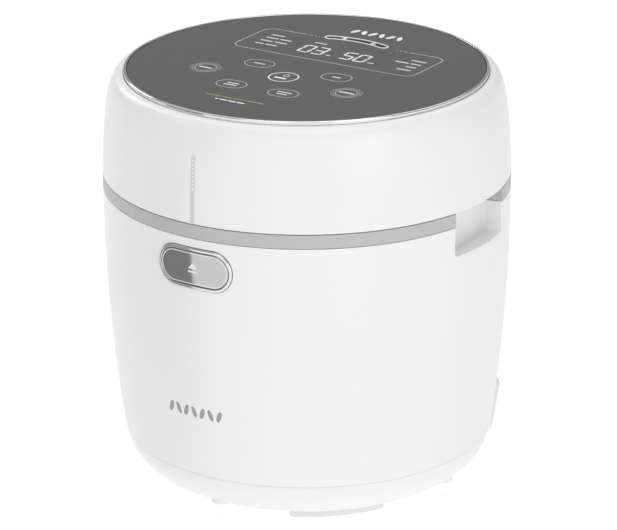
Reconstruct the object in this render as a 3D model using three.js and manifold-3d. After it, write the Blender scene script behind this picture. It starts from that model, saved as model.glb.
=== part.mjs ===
// A round multi-function rice cooker with a hinged lid.
// Millimetres, +Z up, front towards -Y. The origin is on the floor, under the middle of the body.
// Angles called "turn" run from the front towards +X.

import * as THREE from 'three';
import { mergeVertices } from 'three/addons/utils/BufferGeometryUtils.js';
import Module from 'manifold-3d';

const wasm = await Module();
wasm.setup();

// ---------------------------------------------------------------- driving dimensions

const RADIUS = 120; // widest radius, where the lid meets the body
const PARTING = 188.5; // height of the joint between body and lid
const TOP = 250.8; // top of the bright ring round the control panel
const GAP = 0.3; // clearance between neighbouring pieces
const WALL = 2.5; // moulded plastic wall
const ROUND = 36; // facets round a large revolved piece
const INSIDE = 24; // facets round a large piece that is out of sight
const SMALL = 10; // facets round a small one
const BEYOND = 5; // how far a cutting tool runs past what it cuts

const BASE = { floor: 6, corner: 28, flat: 81.9, top: 30.5 };
const FOOT = { height: BASE.floor - GAP, inner: 68.2, outer: 83.2, spread: 20.4 };
const footTurns = { front_right: 45, rear_right: 135, rear_left: -135, front_left: -45 };
const SHELL = { bottom: 31, top: 180.2, taper: 5.46, power: 2.28, levels: 4 };
const SCREW = { ring: 94, shank: 1.6, bore: 2, head: 3.8, headDepth: 2.5, length: 34 };
const SCREW_POST = { well: 8, boss: 6, radius: 5.5, top: 48 };
const screwTurns = [0, 90, 180, 270];

const COLLAR = { bottom: 180.5, deck: 3, lip: 3, seat: 184.4, seatWall: 101, mouth: 95.4 };
const GRIP = { turns: [-90, 90], spread: 12.8, back: 108.5, floor: 162.5, wall: 2.2 };

const LINER = { radius: 94, wall: 1, floor: 56, corner: 10, top: 182.1, hole: 20 };
const POT = { radius: 90, wall: 2.3, bottom: 70.3, corner: 24, flange: 98.5, rim: 186.7 };
const PLATE = { hole: 16, radius: 78, bottom: 57.3, top: 70, terminal: 50 };
const SHIELD = { floor: 44, wall: 1, hole: 12, flat: 86, rim: 93 };
const SENSOR = { cap: 14.5, stem: 3.5, stemBottom: 44, capDepth: 6 };
const SENSOR_BRACKET = { radius: 26, bottom: 52, wall: 1.2 };

const BOARD = { z: 16, thick: 1.6, x0: -62, x1: 32, y0: -50, y1: 20, corner: 6 };
const INLET = { turn: 135, z: 33.2, width: 40, height: 32, corner: 5, block: 28, blockHeight: 20, wall: 2 };
const PAD = { lowRadius: 111, highRadius: 115.8, edge: 1.2, sleeve: 33.4, sleeveHeight: 25.4, back: 98 };
const SOCKET = { face: -110.6, back: -86, depth: 16, pinPitch: 7, pinHalfWidth: 1, pinHalfHeight: 2 };

const BUTTON = { z: 162.3, width: 50, height: 24.5, rim: 2, seat: -113, flange: -110.8 };
const PUSHER = { halfWidth: 5, halfHeight: 1.5, end: -105.8 };
const LATCH = { y: -104, z: 140, halfWidth: 4, hub: 4.5, pin: 1.6, bore: 1.9, arm: 1.5 };
const NOSE = { tip: -109.2, bottom: 177.3, top: 180.5 };
const LATCH_BRACKET = { halfWidth: 13, cheek: 2.5, back: -115, front: -112.4, halfHeight: 8 };
const CATCH = { half: 7.5, front: -112, back: -109.5, ledge: -106, bottom: 174, ledgeTop: 177 };

const HINGE = { y: 112, z: 198, pin: 2.5, bore: 2.8, lug: 6.8, knuckle: 6 };
const hingeSpans = { lugs: [6.5, 15], arms: [15.5, 26] };
const POCKET = { halfWidth: 28.5, front: 100.5, ceiling: 209.6, wall: 2.5, relief: 9.2 };

const LID = { bottom: PARTING + 0.4, shoulder: 248.6, ledge: 247.2, ledgeRadius: 98, ringSeat: 107 };
const lidLevels = 5;
const PANEL = { radius: 104.6, thick: 3, ring: 106.7 };
const VENT = { radius: 58.3, width: 6.8, spread: 18.7, rim: 1.3, bars: 9.8, barWidth: 2.4, bottom: 244 };
const VENT_FLOOR = { bottom: 246.4, top: 247.6, slot: 1.6, spread: 16 };
const CARRIER = { radius: 95.5, floor: 233, wall: 2 };
const UNDER = { plate: 199, recess: 97, rim: 116.6, bottom: 189.3 };
const INNER = { z: 193, thick: 1.2, radius: 91.3, valve: 57, raise: 2 };
const LID_SCREW = { ring: 109, shank: 1.5, bore: 1.8, head: 3.2, headDepth: 2, headTop: 192, length: 16 };
const LID_POST = { split: 196, top: 212 };
const lidScrewTurns = [45, 135, 225, 315];

// ---------------------------------------------------------------- solids

const rad = THREE.MathUtils.degToRad;
const X = new THREE.Vector3(1, 0, 0);
const Y = new THREE.Vector3(0, 1, 0);
const Z = new THREE.Vector3(0, 0, 1);

/** Signed volume of an indexed triangle mesh. */
function signedVolume(position, index) {
  const [a, b, c] = [new THREE.Vector3(), new THREE.Vector3(), new THREE.Vector3()];
  let volume = 0;
  for (let i = 0; i < index.length; i += 3) {
    a.fromBufferAttribute(position, index[i]);
    b.fromBufferAttribute(position, index[i + 1]);
    c.fromBufferAttribute(position, index[i + 2]);
    volume += a.dot(b.cross(c)) / 6;
  }
  return volume;
}

/** A closed geometry as a manifold solid with its faces pointing out. */
function toSolid(geometry) {
  const bare = geometry.clone();
  bare.deleteAttribute('normal');
  bare.deleteAttribute('uv');
  const merged = mergeVertices(bare);
  const position = merged.getAttribute('position');
  const source = merged.getIndex().array;
  const index = [];
  for (let i = 0; i < source.length; i += 3) {
    const [a, b, c] = [source[i], source[i + 1], source[i + 2]];
    if (a !== b && b !== c && c !== a) index.push(a, b, c);
  }
  if (signedVolume(position, index) < 0) index.reverse();
  const vertProperties = new Float32Array(position.array);
  return new wasm.Manifold(new wasm.Mesh({ numProp: 3, vertProperties, triVerts: new Uint32Array(index) }));
}

/** A manifold solid as a geometry. */
function toGeometry(solid) {
  const { vertProperties, triVerts } = solid.getMesh();
  const geometry = new THREE.BufferGeometry();
  geometry.setAttribute('position', new THREE.BufferAttribute(new Float32Array(vertProperties), 3));
  geometry.setIndex(new THREE.BufferAttribute(new Uint32Array(triVerts), 1));
  return geometry;
}

const join = (...parts) => toGeometry(parts.map(toSolid).reduce((a, b) => a.add(b)));
const cut = (base, ...tools) =>
  toGeometry(tools.map(toSolid).reduce((a, b) => a.subtract(b), toSolid(base)));
const common = (a, b) => toGeometry(toSolid(a).intersect(toSolid(b)));

/** Revolves a profile of [radius, height] points round Z. A ring's profile is closed here. */
function revolve(profile, segments = ROUND) {
  const closed = profile[0][0] > 0 ? [...profile, profile[0]] : profile;
  const points = closed.map(([r, z]) => new THREE.Vector2(r, z));
  return new THREE.LatheGeometry(points, segments).rotateX(Math.PI / 2);
}

/** Extrudes a shape along one axis. The shape is drawn in (y, z), (x, z) or (x, y). */
function extrude(axis, shape, from, to, curveSegments = SMALL) {
  const geometry = new THREE.ExtrudeGeometry(shape, { depth: to - from, bevelEnabled: false, curveSegments });
  const frame = new THREE.Matrix4();
  if (axis === 'x') frame.makeBasis(Y, Z, X).setPosition(from, 0, 0);
  if (axis === 'y') frame.makeBasis(X, Z, Y.clone().negate()).setPosition(0, to, 0);
  if (axis === 'z') frame.makeBasis(X, Y, Z).setPosition(0, 0, from);
  return geometry.applyMatrix4(frame);
}

const polygon = (...points) => new THREE.Shape(points.map(([u, v]) => new THREE.Vector2(u, v)));

const rectangle = (u0, u1, v0, v1) => polygon([u0, v0], [u1, v0], [u1, v1], [u0, v1]);

function box(x0, x1, y0, y1, z0, z1) {
  const geometry = new THREE.BoxGeometry(x1 - x0, y1 - y0, z1 - z0);
  return geometry.translate((x0 + x1) / 2, (y0 + y1) / 2, (z0 + z1) / 2);
}

function disc(radius, u = 0, v = 0) {
  const shape = new THREE.Shape();
  shape.absarc(u, v, radius, 0, 2 * Math.PI, false);
  return shape;
}

function roundedRectangle(width, height, corner, u = 0, v = 0) {
  const [w, h] = [width / 2 - corner, height / 2 - corner];
  const shape = new THREE.Shape();
  shape.absarc(u + w, v + h, corner, 0, Math.PI / 2, false);
  shape.absarc(u - w, v + h, corner, Math.PI / 2, Math.PI, false);
  shape.absarc(u - w, v - h, corner, Math.PI, Math.PI * 1.5, false);
  shape.absarc(u + w, v - h, corner, Math.PI * 1.5, Math.PI * 2, false);
  return shape;
}

const stadium = (width, height, u, v) => roundedRectangle(width, height, height / 2 - 0.01, u, v);

/** A piece of a ring in plan, between two radii, centred on a turn from the front. */
function ringSector(inner, outer, turn, spread) {
  const [a, b] = [rad(turn - spread - 90), rad(turn + spread - 90)];
  const shape = new THREE.Shape();
  shape.absarc(0, 0, outer, a, b, false);
  shape.absarc(0, 0, inner, b, a, true);
  return shape;
}

/** A curved slot with round ends, centred on a turn from the front. */
function arcSlot(radius, width, turn, spread) {
  const [a, b] = [rad(turn - spread - 90), rad(turn + spread - 90)];
  const half = width / 2;
  const shape = new THREE.Shape();
  shape.absarc(0, 0, radius + half, a, b, false);
  shape.absarc(radius * Math.cos(b), radius * Math.sin(b), half, b, b + Math.PI, false);
  shape.absarc(0, 0, radius - half, b, a, true);
  shape.absarc(radius * Math.cos(a), radius * Math.sin(a), half, a + Math.PI, a + 2 * Math.PI, false);
  return shape;
}

/** An upright cylinder at a radius and turn from the middle. */
function pillar(radius, ring, turn, z0, z1, sides = SMALL) {
  return new THREE.CylinderGeometry(radius, radius, z1 - z0, sides)
    .rotateX(Math.PI / 2)
    .translate(ring * Math.sin(rad(turn)), -ring * Math.cos(rad(turn)), (z0 + z1) / 2);
}

/** A round wire swept along a curve. */
function wire(curve, radius, steps, sides = 6) {
  const section = polygon(...Array.from({ length: sides }, (_, i) => {
    const angle = (2 * Math.PI * i) / sides;
    return [radius * Math.cos(angle), radius * Math.sin(angle)];
  }));
  return new THREE.ExtrudeGeometry(section, { steps, extrudePath: curve, bevelEnabled: false });
}

class Helix extends THREE.Curve {
  constructor(radius, length, turns) {
    super();
    Object.assign(this, { radius, length, turns });
  }

  getPoint(t, target = new THREE.Vector3()) {
    const angle = 2 * Math.PI * this.turns * t;
    return target.set(this.radius * Math.cos(angle), this.radius * Math.sin(angle), this.length * t);
  }
}

/** A coil spring along Z, from z = 0 up. */
function coil(radius, wireRadius, length, turns) {
  const stepsPerTurn = 8;
  return wire(new Helix(radius, length, turns), wireRadius, turns * stepsPerTurn, 4);
}

// ---------------------------------------------------------------- outlines shared by several pieces

/** Radius of the body's side, which narrows towards the base. */
const sideRadius = (z) => RADIUS - SHELL.taper * ((PARTING - z) / RADIUS) ** SHELL.power;

/** Points of the base's rounded corner, grown by an offset, up to a height. */
function baseCorner(offset, top, steps) {
  const centre = BASE.floor + BASE.corner;
  const radius = BASE.corner + offset;
  const end = Math.asin((top - centre) / radius);
  return Array.from({ length: steps + 1 }, (_, i) => {
    const angle = THREE.MathUtils.lerp(-Math.PI / 2, end, i / steps);
    return [BASE.flat + radius * Math.cos(angle), centre + radius * Math.sin(angle)];
  });
}

/** The lid's side and shoulder, from its rim up, moved inwards by an offset. */
function lidOutline(offset, levels = lidLevels) {
  const curve = new THREE.CubicBezierCurve(
    new THREE.Vector2(RADIUS - offset, LID.bottom),
    new THREE.Vector2(RADIUS - 1.7 - offset, LID.bottom + 53.6),
    new THREE.Vector2(RADIUS - 5.8 - offset, LID.shoulder - offset),
    new THREE.Vector2(LID.ringSeat - offset, LID.shoulder - offset),
  );
  return curve.getPoints(levels).map((p) => [p.x, p.y]);
}

const filled = (outline) => revolve([[0, outline[0][1]], ...outline, [0, outline.at(-1)[1]]]);

// ---------------------------------------------------------------- body: casing

function outerShell() {
  const outer = Array.from({ length: SHELL.levels + 1 }, (_, i) => {
    const z = THREE.MathUtils.lerp(SHELL.bottom, SHELL.top, i / SHELL.levels);
    return [sideRadius(z), z];
  });
  const inner = outer.map(([r, z]) => [r - WALL, z]).reverse();
  const additions = [];
  const openings = [buttonHole(BUTTON.width + 2 * GAP, BUTTON.height + 2 * GAP), inletHole()];
  for (const turn of GRIP.turns) {
    const margin = THREE.MathUtils.radToDeg(GRIP.wall / RADIUS);
    const pocket = ringSector(GRIP.back - GRIP.wall, RADIUS - 1.5, turn, GRIP.spread + margin);
    const rearWall = ringSector(GRIP.back - GRIP.wall, GRIP.back + 1, turn, GRIP.spread - 0.2);
    additions.push(extrude('z', pocket, GRIP.floor - GRIP.wall, SHELL.top, 6));
    additions.push(extrude('z', rearWall, GRIP.floor, PARTING - GAP, 6));
    openings.push(gripSpace(turn, GRIP.back));
  }
  for (const turn of screwTurns) {
    const post = pillar(SCREW_POST.radius, SCREW.ring, turn, SHELL.bottom, SCREW_POST.top);
    const rib = box(-1.5, 1.5, -sideRadius(SHELL.bottom) + 1.5, -SCREW.ring, SHELL.bottom, SCREW_POST.top);
    additions.push(post, rib.rotateZ(rad(turn)));
    openings.push(pillar(SCREW.bore, SCREW.ring, turn, 0, SCREW_POST.top + BEYOND, 8));
  }
  return cut(join(revolve([...outer, ...inner]), ...additions), ...openings);
}

/** The space that a hand takes in a side grip, open to the side and the top. */
function gripSpace(turn, back) {
  const outline = ringSector(back, RADIUS + BEYOND, turn, GRIP.spread);
  return extrude('z', outline, GRIP.floor, PARTING + BEYOND, 6);
}

const buttonHole = (width, height) =>
  extrude('y', stadium(width, height, 0, BUTTON.z), -RADIUS - BEYOND, LATCH.y - BEYOND, 5);

/** A level block that runs in through the side at the power inlet. */
function inletBlock(width, height) {
  const [w, h] = [width / 2, height / 2];
  return box(-w, w, -RADIUS - BEYOND, SOCKET.back, INLET.z - h, INLET.z + h).rotateZ(rad(INLET.turn));
}

const inletHole = () => inletBlock(PAD.sleeve + 2 * GAP, PAD.sleeveHeight + 2 * GAP);

function baseCover() {
  const steps = 3;
  const outer = [[0, BASE.floor], ...baseCorner(0, BASE.top, steps)];
  const inner = [...baseCorner(-WALL, BASE.top, steps).reverse(), [0, BASE.floor + WALL]];
  const whole = filled(baseCorner(0, BASE.top, steps));
  const additions = [];
  const openings = [inletHole()];
  for (const turn of screwTurns) {
    additions.push(common(pillar(SCREW_POST.boss, SCREW.ring, turn, BASE.floor, BASE.top), whole));
    openings.push(pillar(SCREW.bore, SCREW.ring, turn, 0, SHELL.bottom + BEYOND, 8));
    openings.push(pillar(SCREW.head + 0.5, SCREW.ring, turn, 0, BASE.floor + SCREW_POST.well));
  }
  for (const [x, y] of boardCorners()) {
    additions.push(new THREE.CylinderGeometry(3.5, 3.5, BOARD.z - BASE.floor - 1, 8)
      .rotateX(Math.PI / 2)
      .translate(x, y, (BOARD.z + BASE.floor + 1) / 2 - GAP));
  }
  const slots = 6;
  for (let i = 0; i < slots; i += 1) {
    const slot = box(-1.5, 1.5, -52, -38, 0, BASE.floor + BEYOND);
    openings.push(slot.rotateZ((2 * Math.PI * (i + 0.5)) / slots));
  }
  return cut(join(revolve([...outer, ...inner]), ...additions), ...openings);
}

function boardCorners() {
  const { x0, x1, y0, y1, corner } = BOARD;
  const [left, right, front, rear] = [x0 + corner, x1 - corner, y0 + corner, y1 - corner];
  return [[left, front], [right, front], [right, rear], [left, rear]];
}

const foot = () => extrude('z', ringSector(FOOT.inner, FOOT.outer, 0, FOOT.spread), 0, FOOT.height, 6);

/** A pan-head screw standing on its head, with the head's top face at z = 0. */
function screw(headRadius, headDepth, shank, length) {
  return revolve([
    [0, 0], [headRadius, 0], [headRadius, headDepth], [shank, headDepth], [shank, length], [0, length],
  ], 8);
}

function collar() {
  const { bottom, deck, lip, seat, seatWall, mouth } = COLLAR;
  const profile = [
    [RADIUS - lip, bottom], [RADIUS, bottom], [RADIUS, PARTING], [seatWall, PARTING], [seatWall, seat],
    [mouth, seat], [mouth, seat - 2], [seatWall + 2.3, seat - 2], [seatWall + 2.3, PARTING - deck],
    [RADIUS - lip, PARTING - deck],
  ];
  const ends = GRIP.turns.map((turn) => {
    const block = ringSector(GRIP.back - GRIP.wall - 2, RADIUS - 1, turn, GRIP.spread + 1.2);
    return extrude('z', block, bottom, PARTING - 1, 6);
  });
  const grips = GRIP.turns.map((turn) => gripSpace(turn, GRIP.back - GRIP.wall - GAP));
  const catchHalf = CATCH.half + 2;
  const catchSlot = box(-catchHalf, catchHalf, CATCH.front - 3.5, -seatWall - 2.6, bottom, PARTING + BEYOND);
  return cut(join(revolve(profile), ...ends), ...grips, catchSlot);
}

/** A pad that stands a little proud of the side, and its sleeve through the wall round the inlet. */
function inletHousing() {
  const { turn, z, width, height, corner, block, blockHeight } = INLET;
  const { lowRadius, highRadius, edge, sleeve, sleeveHeight, back } = PAD;
  const [z0, z1, fine] = [z - height / 2, z + height / 2, 180];
  const ring = revolve([
    [back, z0], [lowRadius - edge, z0], [lowRadius, z0 + edge], [highRadius, z1 - edge],
    [highRadius - edge, z1], [back, z1],
  ], fine);
  const outline = extrude('y', roundedRectangle(width, height, corner, 0, z), -RADIUS - BEYOND, -95, 4);
  const upper = [0, 10, 20, 30].map((rise) => {
    const level = SHELL.bottom + rise;
    return [sideRadius(level) + 2 * GAP, level];
  });
  const side = [...baseCorner(2 * GAP, BASE.top, 5), ...upper];
  const bodySpace = revolve([[0, side[0][1]], ...side, [0, side.at(-1)[1]]], fine);
  const pad = cut(common(ring, outline.rotateZ(rad(turn))), bodySpace);
  const throughWall = common(ring, inletBlock(sleeve, sleeveHeight));
  return cut(join(pad, throughWall), inletBlock(block + 2 * GAP, blockHeight + 2 * GAP));
}

function powerInlet() {
  const { z, block, blockHeight, wall } = INLET;
  const { face, back, depth, pinPitch, pinHalfWidth, pinHalfHeight } = SOCKET;
  const [w, h] = [block / 2, blockHeight / 2];
  const socket = rectangle(-w + wall, w - wall, z - h + wall, z + h - wall);
  const body = cut(box(-w, w, face, back, z - h, z + h), extrude('y', socket, face - BEYOND, face + depth));
  const [pinLow, pinHigh] = [z - pinHalfHeight, z + pinHalfHeight];
  const pins = [-pinPitch, 0, pinPitch].map((x) =>
    box(x - pinHalfWidth, x + pinHalfWidth, face + 2, face + depth + 1, pinLow, pinHigh));
  return join(body, ...pins).rotateZ(rad(INLET.turn));
}

// ---------------------------------------------------------------- body: pot, heater and sensor

/** Holes for the heater's two terminals through a floor at a height. */
const terminalHoles = (radius, floor) =>
  [90, -90].map((turn) => pillar(radius, PLATE.terminal, turn, floor - BEYOND, floor + BEYOND));

function potLiner() {
  const { radius, wall, floor, corner, top, hole } = LINER;
  const liner = revolve([
    [hole, floor], [radius - corner, floor], [radius, floor + corner], [radius, top - wall],
    [radius + 3.5, top - wall], [radius + 3.5, top], [radius - wall, top],
    [radius - wall, floor + corner + 0.4], [radius - corner - 0.4, floor + wall], [hole, floor + wall],
  ], INSIDE);
  return cut(liner, ...terminalHoles(5, floor));
}

function innerPot() {
  const { radius, wall, bottom, corner, flange, rim } = POT;
  const steps = 3;
  const curve = (offset) => Array.from({ length: steps + 1 }, (_, i) => {
    const angle = THREE.MathUtils.lerp(-Math.PI / 2, 0, i / steps);
    const r = corner - offset;
    return [radius - corner + r * Math.cos(angle), bottom + corner + r * Math.sin(angle)];
  });
  return revolve([
    [0, bottom], ...curve(0), [radius, rim - 2], [flange, rim - 2], [flange, rim], [radius - wall, rim],
    ...curve(wall).reverse(), [0, bottom + wall],
  ], INSIDE);
}

function heatingPlate() {
  const { hole, radius, bottom, top } = PLATE;
  return revolve([
    [hole, bottom], [radius, bottom], [radius, top - 3], [radius - 2, top],
    [hole + 1.5, top], [hole, top - 1.5],
  ], INSIDE);
}

const heaterTerminal = (turn) => pillar(3.2, PLATE.terminal, turn, SHIELD.floor - 5, PLATE.bottom - GAP, 8);

function heatShield() {
  const { floor, wall, hole, flat, rim } = SHIELD;
  const top = LINER.floor - GAP;
  const dish = revolve([
    [hole, floor], [flat, floor], [rim, top], [rim - wall, top],
    [flat - 0.6, floor + wall], [hole, floor + wall],
  ], INSIDE);
  return cut(dish, ...terminalHoles(6, floor));
}

function sensorCap() {
  const { cap, stem, stemBottom, capDepth } = SENSOR;
  const under = PLATE.top - capDepth;
  return revolve([
    [0, stemBottom], [stem, stemBottom], [stem, under], [cap, under],
    [cap, PLATE.top - 1], [cap - 1, PLATE.top], [0, PLATE.top],
  ], 16);
}

function sensorBracket() {
  const { radius, bottom, wall } = SENSOR_BRACKET;
  const [bore, top, floor] = [SENSOR.stem + 0.7, LINER.floor - GAP, bottom + wall];
  return revolve([
    [bore, bottom], [radius, bottom], [radius, top],
    [radius - wall, top], [radius - wall, floor], [bore, floor],
  ], 16);
}

function sensorSpring() {
  const seat = SENSOR_BRACKET.bottom + SENSOR_BRACKET.wall;
  const wireRadius = 0.6;
  const length = PLATE.top - SENSOR.capDepth - seat - 2 * (wireRadius + GAP);
  return coil(8, wireRadius, length, 4).translate(0, 0, seat + wireRadius + GAP);
}

// ---------------------------------------------------------------- body: electrics in the base

const boardTop = BOARD.z + BOARD.thick;

const powerBoard = () => box(BOARD.x0, BOARD.x1, BOARD.y0, BOARD.y1, BOARD.z, boardTop);

/** A rectangular component standing on the power board. */
function onBoard(x, y, width, depth, height) {
  const seat = boardTop + GAP;
  return box(x - width / 2, x + width / 2, y - depth / 2, y + depth / 2, seat, seat + height);
}

function capacitor() {
  const [radius, height] = [6.5, 20];
  return new THREE.CylinderGeometry(radius, radius, height, 14)
    .rotateX(Math.PI / 2)
    .translate(-8, -34, boardTop + GAP + height / 2);
}

/** A wire led through points given as [x, y, z]. */
function lead(points, radius = 1.3) {
  return wire(new THREE.CatmullRomCurve3(points.map((p) => new THREE.Vector3(...p))), radius, 9);
}

function inletCable() {
  const turn = rad(INLET.turn);
  const out = (distance, z) => [distance * Math.sin(turn), -distance * Math.cos(turn), z];
  const start = -SOCKET.back - GAP;
  const route = [out(start, INLET.z), out(start - 9, INLET.z), [40, 36, 26], [24, 24, 30], [22, 13, 33.5]];
  return lead(route, 2.6);
}

function heaterWire(side) {
  const foot = SHIELD.floor - 5 - 1.3 - GAP;
  const x = side * PLATE.terminal;
  const end = side > 0 ? [22, -3, 34.4] : [-38, -8, 35.2];
  return lead([[x, 0, foot], [x - side * 4, -5, foot + 0.4], [end[0] + side * 8, end[1] - 3, foot], end]);
}

// ---------------------------------------------------------------- button and latch

/** The round space that the button's front faces follow. */
function roundOff(radius) {
  const [low, high] = [BUTTON.z - BUTTON.height, SHELL.top - GAP];
  return revolve([[0, low], [radius, low], [radius, high], [0, high]]);
}

function buttonBezel() {
  const { width, height, rim, z, seat } = BUTTON;
  const plug = extrude('y', stadium(width, height, 0, z), -RADIUS - 1, seat, 5);
  const hole = buttonHole(width - 2 * rim, height - 2 * rim);
  return common(cut(plug, hole), roundOff(RADIUS));
}

function openButton() {
  const { width, height, rim, z, seat, flange } = BUTTON;
  const { halfWidth, halfHeight, end } = PUSHER;
  const inset = 2 * (rim + GAP);
  const face = common(
    extrude('y', stadium(width - inset, height - inset, 0, z), -RADIUS - 1, flange, 5),
    roundOff(RADIUS - 0.05),
  );
  const collarPlate = extrude('y', stadium(width - 2, height - 3, 0, z), seat + 0.4, flange, 5);
  const pusher = box(-halfWidth, halfWidth, flange - 1, end, z - halfHeight, z + halfHeight);
  return join(face, collarPlate, pusher);
}

function latchLever() {
  const { y, z, halfWidth, hub, bore, arm } = LATCH;
  const blade = polygon(
    [y - arm, z], [y + arm, z], [y + arm, NOSE.top - arm], [y, NOSE.top], [y - arm, NOSE.top],
    [NOSE.tip, NOSE.bottom + 1], [NOSE.tip, NOSE.bottom], [y - arm, NOSE.bottom],
  );
  const lever = join(
    extrude('x', blade, -halfWidth, halfWidth),
    extrude('x', disc(hub, y, z), -halfWidth, halfWidth),
  );
  return cut(lever, extrude('x', disc(bore, y, z), -BEYOND, BEYOND));
}

function latchBracket() {
  const { y, z, bore } = LATCH;
  const { halfWidth, cheek, back, front, halfHeight } = LATCH_BRACKET;
  const plate = box(-halfWidth, halfWidth, back, front, z - halfHeight, z + halfHeight);
  const cheeks = [-halfWidth, halfWidth - cheek].map((x) =>
    box(x, x + cheek, front - 0.6, y + 5, z - halfHeight + 2, z + halfHeight - 2));
  return cut(join(plate, ...cheeks), extrude('x', disc(bore, y, z), -20, 20));
}

const latchPin = () => extrude('x', disc(LATCH.pin, LATCH.y, LATCH.z), -14, 14);

function latchSpring() {
  return coil(3.3, 0.45, 4.4, 4).rotateY(Math.PI / 2).translate(4.9, LATCH.y, LATCH.z);
}

function lidCatch() {
  const { half, front, back, ledge, bottom, ledgeTop } = CATCH;
  const seat = UNDER.bottom + WALL + GAP;
  const side = polygon(
    [front, bottom + 1.5], [front + 1.5, bottom], [ledge, bottom], [ledge, ledgeTop], [back, ledgeTop],
    [back, seat], [back + 4, seat], [back + 4, seat + 1.6], [front - 3, seat + 1.6], [front - 3, seat],
    [front, seat],
  );
  return extrude('x', side, -half, half);
}

// ---------------------------------------------------------------- hinge

/** Joins one X range, or the ranges on both sides of the middle, of a side outline. */
function bothSides(shape, [near, far]) {
  return join(extrude('x', shape, near, far, 14), extrude('x', shape, -far, -near, 14));
}

const pinBore = () => extrude('x', disc(HINGE.bore, HINGE.y, HINGE.z), -40, 40);

function hingeBracket() {
  const { y, z, lug } = HINGE;
  const { lugs } = hingeSpans;
  const floor = PARTING + GAP;
  const plate = box(-lugs[1], lugs[1], POCKET.front + 2, RADIUS - 3.5, floor, floor + 2.5);
  const ears = join(
    bothSides(disc(lug, y, z), lugs),
    bothSides(rectangle(y - lug, y + lug - 1.5, floor, z), lugs),
  );
  return cut(join(plate, ears), pinBore());
}

const hingePin = () => extrude('x', disc(HINGE.pin, HINGE.y, HINGE.z), -27, 27);

const hingeSpring = () => coil(4.2, 0.6, 9.6, 5).rotateY(Math.PI / 2).translate(-4.8, HINGE.y, HINGE.z);

function lidHingeArm(side) {
  const { y, z, knuckle } = HINGE;
  const { arms } = hingeSpans;
  const [x0, x1] = side > 0 ? arms : [-arms[1], -arms[0]];
  const top = POCKET.ceiling - GAP;
  const web = rectangle(y - 8.5, y + knuckle - 0.5, z, top);
  return cut(join(extrude('x', disc(knuckle, y, z), x0, x1, 14), extrude('x', web, x0, x1)), pinBore());
}

/** What the lid leaves free at the rear: the hinge pocket, and the arc that its rim swings through. */
function hingeClearance() {
  const { y, z } = HINGE;
  const { halfWidth, front, ceiling, relief } = POCKET;
  const room = box(-halfWidth, halfWidth, front, RADIUS + BEYOND, PARTING - BEYOND, ceiling);
  const swing = cut(
    box(-60, 60, y, RADIUS + BEYOND, PARTING - BEYOND, z),
    extrude('x', disc(relief, y, z), -70, 70, 16),
  );
  return join(room, swing);
}

// ---------------------------------------------------------------- lid

function lidShell() {
  const outer = lidOutline(0);
  const inner = lidOutline(WALL).filter(([, z]) => z < LID.ledge - WALL - 1).reverse();
  const profile = [
    ...outer, [LID.ringSeat, LID.ledge], [LID.ledgeRadius, LID.ledge],
    [LID.ledgeRadius, LID.ledge - WALL], [109, LID.ledge - WALL], ...inner,
  ];
  const { ring, bore } = LID_SCREW;
  const { split, top } = LID_POST;
  const posts = lidScrewTurns.map((turn) => join(
    pillar(4.5, ring, turn, split + GAP, top, 12),
    box(-1.2, 1.2, -RADIUS + 2, -ring, split + GAP, top).rotateZ(rad(turn)),
  ));
  const bores = lidScrewTurns.map((turn) => pillar(bore, ring, turn, PARTING, top - 2));
  return cut(join(revolve(profile), ...posts), ...bores, hingeClearance());
}

function panelRing() {
  const inner = PANEL.radius + GAP;
  const seat = LID.ledge + GAP;
  return revolve([
    [inner, seat], [PANEL.ring, seat], [PANEL.ring, TOP - 0.7], [PANEL.ring - 0.7, TOP],
    [inner + 0.2, TOP], [inner, TOP - 0.2],
  ]);
}

const ventOutline = (grow) => arcSlot(VENT.radius, VENT.width + 2 * grow, 180, VENT.spread);

function controlPanel() {
  const seat = LID.ledge + GAP;
  const [radius, top] = [PANEL.radius, seat + PANEL.thick];
  const glass = revolve([[0, seat], [radius, seat], [radius, top - 0.5], [radius - 0.5, top], [0, top]]);
  return cut(glass, extrude('z', ventOutline(GAP), LID.ledge, TOP + BEYOND, 6));
}

function ventTrim() {
  const { radius, width, rim, bars, barWidth, bottom } = VENT;
  const [inner, outer] = [radius - width / 2 + 0.5, radius + width / 2 - 0.5];
  const steamSlot = arcSlot(radius, VENT_FLOOR.slot, 180, VENT_FLOOR.spread);
  const frame = cut(
    extrude('z', ventOutline(0), bottom, TOP, 6),
    extrude('z', ventOutline(-rim), VENT_FLOOR.top, TOP + 1, 6),
    extrude('z', ventOutline(-rim), bottom - 1, VENT_FLOOR.bottom, 6),
    extrude('z', steamSlot, bottom, TOP, 4),
  );
  const crossBars = [-bars, bars].map((turn) =>
    box(-barWidth / 2, barWidth / 2, inner, outer, bottom, TOP - 0.6).rotateZ(rad(turn)));
  return join(frame, ...crossBars);
}

function steamDuct() {
  const bottom = UNDER.plate + WALL + GAP;
  const top = VENT.bottom - GAP;
  return cut(
    extrude('z', ventOutline(3.5), bottom, top, 5),
    extrude('z', ventOutline(1.7), bottom - 1, top + 1, 5),
  );
}

function panelCarrier() {
  const { radius, floor, wall } = CARRIER;
  const top = LID.ledge - GAP;
  const tray = revolve([
    [0, floor], [radius, floor], [radius, top], [radius - wall, top],
    [radius - wall, floor + wall], [0, floor + wall],
  ], INSIDE);
  return cut(tray, extrude('z', ventOutline(3.5 + GAP), floor - 1, floor + wall + 1, 5));
}

const displayBoard = () => extrude('z', roundedRectangle(130, 102, 4, 0, -8), 238, 239.6, 3);

const displayModule = () => extrude('z', roundedRectangle(122, 32, 3, 0, 27), 239.9, LID.ledge - GAP, 3);

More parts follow.
